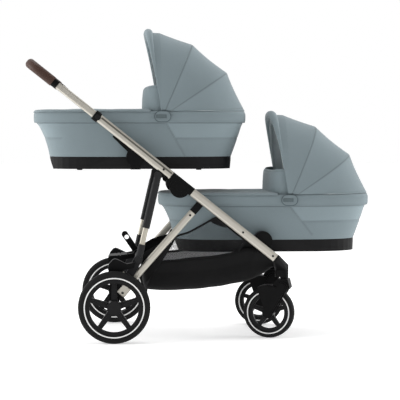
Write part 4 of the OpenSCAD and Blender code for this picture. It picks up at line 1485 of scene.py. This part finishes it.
    def hood_piece(self, word: str, grid: np.ndarray, seam: np.ndarray,
                   extra: list[bpy.types.Object]) -> bpy.types.Object:
        """One cloth of the hood.

        Args:
            word: Name of the piece.
            grid: Its points, in millimetres.
            seam: Mark of its sewn lines.
            extra: Meshes to join to it.

        Returns:
            The new piece.
        """
        seam = np.minimum(seam, 1.0)
        wave = 0.9 * ripple(grid * MM, 0.26, 4.0) - 0.9 * seam
        grid = grid + self.outward(grid) * wave[..., None]
        piece = skin(self.node(word), self.world(grid), marks={"seam": seam})
        count = len(piece.data.vertices)
        thicken(piece, self.hood_thickness * MM, -1.0)
        line_inside(piece, count, self.origin + Vector(self.hub) * MM)
        if extra:
            piece = Bench.join([piece, *extra], self.node(word))
        wear(piece, "cloth")
        bows = [self.node("mid_bow"), self.node("front_bow")]
        declare(self.world(grid), bows, self.node("canopy"))
        return piece

    def build_caps(self) -> None:
        """Press plates on the two hood covers and the dark rings of painted shade round the covers."""
        x, z = self.pivot
        for side in Side:
            out = side.value * (self.half_width + self.press_out)
            middle = self.origin + Vector((x - self.press_back, out, z)) * MM
            piece = Bench.block(self.node(f"hood_press_{side.word}"), self.press, middle)
            Bench.modify(piece, "BEVEL", width=6.4 * MM, segments=6)
            Bench.sink(piece, side.value, [(0.8, 0.0), (0.5, -0.5)])
            wear(piece, "plate")
            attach(piece, self.body)
            self.build_welt(side)

    def build_welt(self, side: Side) -> None:
        """Dark ring of painted shade round one hood cover: an open drum stretched to the cover's oval and
        thickened.

        Args:
            side: Side of the carrycot.
        """
        x, z = self.pivot
        middle = self.origin + Vector((x, side.value * (self.half_width + self.welt_out), z)) * MM
        Bench.clear()
        bpy.ops.mesh.primitive_cylinder_add(
            vertices=64, radius=self.welt_radius * MM, depth=self.welt_depth * MM, end_fill_type="NOTHING",
            location=middle, rotation=(math.pi / 2, 0.0, 0.0))
        piece = Bench.named(self.node(f"hood_welt_{side.word}"))
        Bench.settle(piece)
        for vertex in piece.data.vertices:
            vertex.co.x += math.copysign(self.welt_stretch * MM, vertex.co.x - middle.x)
        Bench.modify(piece, "SOLIDIFY", thickness=self.welt_width * MM, offset=-1.0)
        Bench.modify(piece, "BEVEL", width=0.6 * MM, segments=2)
        # Painted shade round the edge of the hood cover.
        wear(piece, "shadow_cloth")
        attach(piece, self.body)

    def build(self) -> None:
        """The tray's finish, then the wall, the apron, the flap, the hood and its covers."""
        self.dress_base()
        self.build_wall()
        self.build_apron()
        self.build_flap()
        self.build_hood()
        self.build_caps()

    def dress_base(self) -> None:
        """Gives the tray its black plastic, and the hood covers on it the colour of the cloth."""
        height = self.origin.z + self.cover_height * MM
        side = (self.half_width - self.disc_inset) * MM
        cover = TwoPartTray(f"{self.level.value}_tray", BLACK, GREY, shade(CLOTH, 0.9), height, side)
        dress_node(self.node("cot_base"), cover.make())


@dataclass
class Mattress:
    """Cloth-covered mattress, swollen by simulation and quilted."""

    voxel: float = 6.0 * MM
    pressure: float = 4.0
    frames: int = 20
    cap: float = 6.0 * MM
    shrink: float = 4.0 * MM
    squat: float = 0.9
    quilt: float = 120.0 * MM
    seam_width: float = 7.0 * MM
    seam_depth: float = 5.0 * MM

    def start_shape(self, node: str) -> bpy.types.Object:
        """Copy of the mattress solid, merged, drawn in a little and remeshed.

        Args:
            node: The solid's node.

        Returns:
            The new piece.
        """
        piece = put_in_scene(node + "_pad", frame["nodes"][node].data.copy())
        Bench.modify(piece, "WELD", merge_threshold=0.05 * MM)
        low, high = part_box(node)
        middle = (low + high) / 2
        for vertex in piece.data.vertices:
            offset = vertex.co - middle
            for k in (0, 1):
                reach = (high - low)[k] / 2
                vertex.co[k] = middle[k] + offset[k] * (1 - self.shrink / reach)
            vertex.co.z = low.z + (vertex.co.z - low.z) * self.squat
        Bench.modify(piece, "REMESH", mode="VOXEL", voxel_size=self.voxel)
        return piece

    def swell(self, piece: bpy.types.Object) -> None:
        """Blows the cover up with cloth simulation and caps how far a point moves.

        Args:
            piece: The pad.
        """
        scene = bpy.context.scene
        start = points_of(piece.data)
        cloth = piece.modifiers.new("swell", "CLOTH")
        cloth.settings.use_pressure = True
        cloth.settings.uniform_pressure_force = self.pressure
        cloth.settings.effector_weights.gravity = 0.0
        cloth.settings.quality = 4
        cloth.collision_settings.use_collision = False
        for k in range(1, self.frames + 1):
            scene.frame_set(k)
        shown = piece.evaluated_get(bpy.context.evaluated_depsgraph_get())
        moved = points_of(shown.data)
        piece.modifiers.remove(cloth)
        scene.frame_set(1)
        way = moved - start
        far = np.linalg.norm(way, axis=1)[:, None]
        way *= np.minimum(1.0, self.cap / np.maximum(far, 1e-9))
        move_points(piece.data, start + way)

    def sew(self, piece: bpy.types.Object, node: str) -> None:
        """Quilts the top and keeps the pad inside its solid's box.

        Args:
            piece: The pad.
            node: Node that it replaces.
        """
        low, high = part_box(node)
        co = points_of(piece.data)
        u, v = (co[:, 0] + co[:, 1]) / self.quilt, (co[:, 0] - co[:, 1]) / self.quilt
        gap = np.minimum(np.abs(u - np.round(u)), np.abs(v - np.round(v))) * self.quilt
        top = np.clip((co[:, 2] - low.z) / (high.z - low.z) * 2 - 1, 0, 1)
        seam = ridge(gap, self.seam_width) * top
        co[:, 2] = np.maximum(co[:, 2] - seam * self.seam_depth, low.z)
        move_points(piece.data, co)
        paint(piece.data, "seam", seam)
        piece.data.update()

    def build(self) -> None:
        """The two mattresses; the second is a copy of the first."""
        nodes = [f"{level.value}_mattress" for level in Level]
        first = self.start_shape(nodes[0])
        self.swell(first)
        self.sew(first, nodes[0])
        Bench.modify(first, "SUBSURF", levels=1, render_levels=1)
        shade_smooth(first.data)
        second = put_in_scene(nodes[1] + "_pad", first.data.copy())
        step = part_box(nodes[1])[0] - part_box(nodes[0])[0]
        second.data.transform(Matrix.Translation(step))
        for piece, node, level in zip((first, second), nodes, Level):
            wear(piece, "mattress")
            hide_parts(node)
            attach(piece, f"{level.value}_cot")


@dataclass
class Basket:
    """Shopping basket: a sagging cloth tub with net panels up to the rails."""

    half: float = 206.0
    corner: float = 46.0
    sag: float = 9.0
    thickness: float = 2.6
    net_low: tuple[tuple[float, float], ...] = (
        (172, 314), (229, 317), (300, 324), (372, 329), (434, 339), (500, 354))
    net_high: tuple[tuple[float, float], ...] = (
        (232, 390), (243, 408), (259, 419), (300, 432), (351, 459), (392, 482), (409, 490))
    tab: tuple[tuple[float, float], ...] = (
        (216, -23), (223, -24), (243, -35), (272, -46), (290, -46), (291, -23))
    floor_line: tuple[tuple[float, float], ...] = (
        (112, 304), (113, 280), (115, 254), (118, 230), (121, 216), (125, 208), (136, 202), (210, 198),
        (310, 202), (386, 208), (464, 218), (530, 231), (600, 261), (646, 288))
    top_line: tuple[tuple[float, float], ...] = (
        (112, 330), (122, 347), (146, 361), (172, 374), (232, 388), (202, 348), (178, 315), (240, 317),
        (320, 324), (400, 331), (470, 344), (530, 362), (585, 350), (640, 302))
    nose: Triple = (600.0, 645.0, 172.0)
    wing: Triple = (168.0, 236.0, 326.0)
    hem: float = -20.0
    hem_span: tuple[float, float] = (278.0, 134.0)
    swept: float = 408.0
    welt: float = 4.2
    edge: float = 3.4
    net_thickness: float = 1.2
    seam_up: float = 0.63
    hem_up: float = 0.955
    middle: Triple = (380.0, 0.0, 420.0)
    anchor: Triple = (420.0, 0.0, 330.0)
    keep: float = 0.3
    folds: str = "frame_fold"
    body: str = "front_frame"
    squash_axis: Triple = (0.0, 0.0, 1.0)

    def section(self, count: int) -> np.ndarray:
        """Shape of half a cross-section: 0 to 1 across the floor and 0 to 1 up the side.

        Args:
            count: Points from the middle to the top edge.

        Returns:
            Pairs of across and up.
        """
        r = self.corner / self.half
        lift = 0.34
        turn = np.linspace(0, math.pi / 2, 13)
        bend = np.stack([1 - r + r * np.sin(turn), lift * (1 - np.cos(turn))], axis=1)
        line = np.vstack([[[0.0, 0.0], [0.4, 0.0]], bend, [[1.0, 0.7], [1.0, 1.0]]])
        return even(line * [2.0, 1.0], count) / [2.0, 1.0]

    def build_tub(self) -> bpy.types.Object:
        """The cloth tub with its seam line, folds and bound top edge.

        Returns:
            The new piece.
        """
        spans, belly_out, lean_in, taper, clear, narrower = 9, 5.0, 6.0, 40.0, 5.0, 4.0
        floor = smooth_line(self.floor_line, spans)
        top = smooth_line(self.top_line, spans)
        shape = self.section(34)
        across = np.concatenate([-shape[::-1, 0], shape[1:, 0]])
        up = np.concatenate([shape[::-1, 1], shape[1:, 1]])
        line = floor[:, None] * (1 - up[None, :, None]) + top[:, None] * up[None, :, None]
        along = np.linspace(0, 1, len(floor))[:, None]
        droop = self.sag * np.sin(math.pi * along) * np.clip(1 - across[None] ** 2 * 1.3, 0, 1)
        belly = belly_out * np.sin(math.pi * np.clip(up, 0, 1))[None] * np.sin(math.pi * along) ** 0.5
        start, end, narrow = self.nose
        least = (narrow - narrower) / self.half
        width = np.interp(line[..., 0], [start - taper, end - clear], [1.0, least])
        y = (self.half * across + np.sign(across) * (belly - lean_in * up)) * width
        grid = np.stack([line[..., 0], y, line[..., 1] - droop], axis=-1)
        seam = ridge(up[None] - self.seam_up, 0.016) + 0 * along
        hem = ridge(up[None] - self.hem_up, 0.012) + 0 * along
        out = np.zeros_like(grid)
        out[..., 1] = np.sign(across)[None] * up[None]
        out[..., 2] = -(1 - up[None])
        fold = 2.0 * ripple(grid * MM, 0.3, 6.0) + 1.0 * ripple(grid * MM, 0.11, 7.0)
        grid += out * (fold * (1 - 0.6 * up[None]) - 1.4 * seam - 0.8 * hem)[..., None]
        grid[..., 0] += AXLE_X / MM
        band = np.clip((up[None] - self.seam_up) / 0.02, 0, 1) + 0 * along
        piece = skin("basket_cloth", grid[::-1] * MM, marks={
            "seam": np.maximum(seam, 0.6 * hem)[::-1], "panel": 0.35 * band[::-1]})
        inner = len(piece.data.vertices)
        thicken(piece, self.thickness * MM, -1.0)
        line_inside(piece, inner, at(*self.middle), self.lined)
        edges = [tube(f"basket_edge_{k}", grid[:, k] * MM, self.edge * MM, 8) for k in (0, -1)]
        ends = [tube(f"basket_end_{k}", grid[k] * MM, self.edge * MM, 8) for k in (0, -1)]
        piece = Bench.join([piece, *edges, *ends], "basket_cloth")
        wear(piece, "basket")
        declare(grid * MM, ["front_cross_tube", "rear_cross_tube"], "basket")
        return self.crumple(piece)

    def lined(self, points: np.ndarray) -> np.ndarray:
        """Which points of the tub are lined: all but its rear wings."""
        x, z = (points[:, 0] - AXLE_X) / MM, points[:, 2] / MM
        return (x > self.wing[1]) | ((x > self.wing[0]) & (z < self.wing[2]))

    def crumple(self, piece: bpy.types.Object) -> bpy.types.Object:
        """Lets a cloth ride on the front frame and gives it a mesh of its own.

        Args:
            piece: The cloth.

        Returns:
            The same piece.
        """
        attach(piece, self.body)
        anchor = tuple(at(*self.anchor))
        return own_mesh(piece)

    def build_net(self, side: Side) -> bpy.types.Object:
        """One net panel with its bound edges.

        Args:
            side: Side of the pram.

        Returns:
            The new piece.
        """
        rows, cols = 44, 110
        near, sweep, ease, inset, sag = 4.0, 22.0, 60.0, 3.0, 5.0
        low = even(smooth_line(self.net_low, 8), cols)
        bound = smooth_line(self.net_high, 8)
        hem = [rail(s, self.hem) for s in np.linspace(*self.hem_span, 20)]
        high = even(np.vstack([bound, hem]), cols)
        s = np.linspace(0, 1, rows)[:, None]
        line = low[None] * (1 - s[..., None]) + high[None] * s[..., None]
        out = near + sweep * np.clip((line[..., 0] - self.swept) / ease, 0, 1)
        y = side.value * (self.half - inset + out * s**1.4 - sag * np.sin(math.pi * s))
        grid = np.stack([line[..., 0] + AXLE_X / MM, y, line[..., 1]], axis=-1)
        grid[..., 1] += 1.6 * np.sin(math.pi * s) * ripple(grid * MM, 0.17, 8.0)
        reach, height = along_rail(line)
        deep = np.interp(reach, *np.array(self.tab).T)
        marked = np.maximum(np.clip((height - deep) / 2.0, 0, 1), s < 0.03)
        order = (lambda values: values) if side is Side.LEFT else (lambda values: values[:, ::-1])
        piece = skin(f"basket_net_{side.word}", order(grid) * MM, marks={"binding": order(marked)})
        thicken(piece, self.net_thickness * MM, 0.0)
        welts = [tube(f"net_welt_{k}", path * MM, self.welt * MM, 8, ("binding",))
                 for k, path in enumerate((grid[-1], grid[:, 0], grid[:, -1]))]
        piece = Bench.join([piece, *welts], f"basket_net_{side.word}")
        wear(piece, "net")
        holders = ["basket_cloth", f"front_leg_{side.word}"]
        declare(grid * MM, holders, "basket_mesh")
        return self.crumple(piece)

    def build(self) -> None:
        """The tub and both net panels."""
        self.build_tub()
        for side in Side:
            self.build_net(side)


@dataclass
class Handle:
    """Stitched seam of the leather grip."""

    grip_width: float = 34.0
    middle: float = 1241.5
    rail_y: float = 245.0
    bend: float = 55.0
    leg: float = 111.0
    pitch: float = 7.0
    stitch: Triple = (4.6, 1.4, 1.2)

    def path(self) -> np.ndarray:
        """Middle line of the grip, in the plane of the handle.

        Returns:
            Pairs of the place along the rail and the place across, in millimetres.
        """
        turn = np.linspace(0, math.pi / 2, 24)
        s, y = self.middle - self.bend, self.rail_y - self.bend
        corner = np.stack([s + self.bend * np.sin(turn), y + self.bend * np.cos(turn)], axis=1)
        half = np.vstack([[[self.middle - self.leg, self.rail_y]], corner])
        return np.vstack([half, half[::-1] * [1, -1]])

    def build(self) -> None:
        """A row of stitches along the inner side of the grip, modelled once and copied."""
        stitch = Bench.block("grip_stitches", self.stitch)
        Bench.modify(stitch, "BEVEL", width=0.45 * MM, segments=1)
        line = self.path()
        length = np.linalg.norm(np.diff(line, axis=0), axis=1).sum()
        points = even(line, int(length / self.pitch))
        ahead = unit(np.gradient(points, axis=0))
        one = stitch.data.copy()
        made = bmesh.new()
        slope = Matrix.Rotation(RAIL_ANGLE, 4, "Y")
        for (s, y), (ds, dy) in zip(points, ahead):
            spot_s, spot_y = s + dy * self.grip_width / 2, y - ds * self.grip_width / 2
            x, z = rail(spot_s)
            turn = Matrix.Rotation(math.atan2(dy, -ds), 4, "Z")
            copy = one.copy()
            copy.transform(Matrix.Translation(at(x, spot_y, z)) @ slope @ turn)
            made.from_mesh(copy)
            bpy.data.meshes.remove(copy)
        made.to_mesh(stitch.data)
        made.free()
        wear(stitch, "thread")
        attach(stitch, "handle")


@dataclass
class WheelRing:
    """Pale bead on both sides of a tyre."""

    tyre: str
    body: str
    joint: str
    radius: float
    bead: float = 2.4
    outset: float = 0.2
    buried: float = 0.5
    flat: float = 0.42

    def build(self) -> None:
        """Two half-round rings, one on each wall of the tyre."""
        axis = Vector(next(j["axis"] for j in frame["joints"] if j["name"] == self.joint))
        low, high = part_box(self.tyre)
        middle = (low + high) / 2
        points = points_of(frame["nodes"][self.tyre].data) - np.array(middle)
        half = float(np.abs(points @ np.array(axis)).max())
        rings = []
        for sign in (-1, 1):
            Bench.clear()
            bpy.ops.mesh.primitive_torus_add(
                major_radius=self.radius * MM, minor_radius=self.bead * MM,
                major_segments=96, minor_segments=12)
            ring = Bench.named(f"{self.tyre}_ring_{sign}")
            ring.scale = (1.0, 1.0, self.flat)
            ring.rotation_mode = "QUATERNION"
            ring.rotation_quaternion = (axis * sign).to_track_quat("Z", "Y")
            ring.location = middle + axis * sign * (half + self.outset * MM)
            Bench.settle(ring)
            Bench.edit(ring, lambda normal: True)
            cut = middle + axis * sign * (half - self.buried * MM)
            bpy.ops.mesh.bisect(plane_co=cut, plane_no=axis * sign, clear_inner=True, use_fill=False)
            Bench.leave()
            rings.append(ring)
        piece = Bench.join(rings, self.tyre.replace("tyre", "ring"))
        shade_smooth(piece.data)
        wear(piece, "ring")
        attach(piece, self.body)


@dataclass
class RailStrip:
    """Dark strip laid in the groove along an upper rail, as painted shade of the groove."""

    side: Side
    low: float = 534.0
    high: float = 888.0
    height: float = 6.9
    width: float = 7.2
    depth: float = 0.7
    face: float = 254.2

    def build(self) -> None:
        """A long dark bar with rounded edges, laid in the groove as painted shade."""
        x, z = rail((self.low + self.high) / 2, self.height)
        piece = Bench.block(
            f"rail_strip_{self.side.word}", (self.high - self.low, self.depth, self.width),
            at(x, self.side.value * self.face, z), RAIL_ANGLE)
        Bench.modify(piece, "BEVEL", width=0.3 * MM, segments=2)
        # Darkened tube finish: painted shade of the groove.
        wear(piece, "groove_shade_tube")
        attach(piece, "upper_frame")


@dataclass
class LegEnd:
    """Bare end of a rear leg below its knuckle, with a screw in its outer side."""

    side: Side
    middle: tuple[float, float] = (38.0, 204.0)
    slope: float = 49.0
    length: float = 42.0
    height: float = 37.0
    inner: float = 206.0
    outer: float = 266.0
    screw: float = 5.0
    screw_depth: float = 4.0
    screw_place: Triple = (-5.0, -1.2, -8.0)

    def build(self) -> None:
        """A bevelled block with a shallow panel on its outer face, and the screw."""
        word, sign = self.side.word, self.side.value
        x, z = self.middle
        piece = Bench.block(
            f"leg_end_{word}", (self.length, self.outer - self.inner, self.height),
            at(x, sign * (self.outer + self.inner) / 2, z), -math.radians(self.slope))
        Bench.sink(piece, sign, [(3.5, -0.8)])
        Bench.modify(piece, "BEVEL", width=2.2 * MM, segments=3)
        wear(piece, "tube")
        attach(piece, "rear_legs")
        Bench.clear()
        bpy.ops.mesh.primitive_cylinder_add(vertices=32, radius=self.screw * MM, depth=self.screw_depth * MM)
        head = Bench.named(f"leg_end_screw_{word}")
        head.rotation_euler = (-sign * math.pi / 2, 0.0, 0.0)
        along, out, up = self.screw_place
        head.location = at(x + along, sign * (self.outer + out), z + up)
        Bench.settle(head)
        Bench.sink(head, sign, [(2.0, 0.0), (0.4, -1.6)])
        Bench.modify(head, "BEVEL", width=0.4 * MM, segments=2)
        wear(head, "screw")
        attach(head, "rear_legs")


@dataclass
class Studio:
    """Pale floor, soft light and the camera."""

    eye: Triple = (-0.3231, -5.4673, 0.832)
    pitch: float = 87.05
    yaw: float = -3.43
    lens: float = 118.7
    sensor: float = 36.0
    dim: float = 0.45

    def build(self) -> None:
        """Floor, world that glows behind the pram, lights and camera."""
        Bench.clear()
        bpy.ops.mesh.primitive_plane_add(size=60.0)
        floor = Bench.named("floor")
        kit = Kit("studio_floor")
        grain = kit.noise(3.0, 4.0)
        floor.data.materials.append(kit.surface(
            Base_Color=kit.mix(grain, (0.95, 0.95, 0.95), (0.98, 0.98, 0.98)),
            Roughness=0.85 + (grain - 0.5) * 0.1,
            Specular_IOR_Level=0.1, Emission_Color=(1.0, 1.0, 1.0), Emission_Strength=0.36))
        scene = bpy.context.scene
        scene.world = bpy.data.worlds.new("studio")
        sky = Kit("sky", scene.world)
        _, behind, _ = sky.axes(sky.out(sky.node("ShaderNodeTexCoord"), "Generated"))
        glow = self.dim + (1 - self.dim) * behind.step(-0.15, 0.45)
        lit = sky.node("ShaderNodeBackground", None, {"Color": (1.0, 1.0, 1.0, 1.0), "Strength": glow})
        sky.node("ShaderNodeOutputWorld", None, {"Surface": sky.out(lit)})
        scene.view_settings.view_transform = "Standard"
        for name, where, size, power in (
                ("left", (-4.4, -0.4, 1.8), 2.4, 130.0), ("right", (4.4, -0.4, 1.6), 2.4, 110.0),
                ("top", (0.0, 0.3, 4.5), 2.6, 75.0)):
            self.lamp(name, Vector(where), size, power)
        view = bpy.data.cameras.new("camera")
        view.lens, view.sensor_width, view.sensor_fit = self.lens, self.sensor, "HORIZONTAL"
        view.clip_end = 100.0
        camera = bpy.data.objects.new("camera", view)
        camera.location = self.eye
        camera.rotation_euler = (math.radians(self.pitch), 0.0, math.radians(self.yaw))
        scene.collection.objects.link(camera)
        scene.camera = camera

    @staticmethod
    def lamp(name: str, where: Vector, size: float, power: float) -> None:
        """One square soft box that faces the pram.

        Args:
            name: Its name.
            where: Its place.
            size: Its side, in metres.
            power: Its power, in watts.
        """
        light = bpy.data.lights.new(name, "AREA")
        light.size, light.energy = size, power
        lamp = bpy.data.objects.new(name, light)
        lamp.location = where
        lamp.rotation_euler = (Vector((0.0, 0.0, 0.6)) - where).to_track_quat("-Z", "Y").to_euler()
        bpy.context.scene.collection.objects.link(lamp)


def main() -> None:
    """Builds the pieces in order."""
    logging.basicConfig(level=logging.INFO, format="%(message)s")
    Studio().build()
    dress_nodes()
    cots = [Carrycot(Level.UPPER, ((105.3, 180.0), (176.7, 52.7))),
            Carrycot(Level.LOWER, ((93.7, 181.3), (183.0, 68.9)))]
    for cot in cots:
        cot.build()
    Mattress().build()
    Basket().build()
    Handle().build()
    for side in Side:
        RailStrip(side).build()
        LegEnd(side).build()
        for end, radius in (("rear", 117.0), ("front", 85.0)):
            tyre, wheel, spin = (f"{end}_{word}_{side.word}" for word in ("tyre", "wheel", "wheel_spin"))
            WheelRing(tyre, wheel, spin, radius).build()


if __name__ == "__main__":
    main()
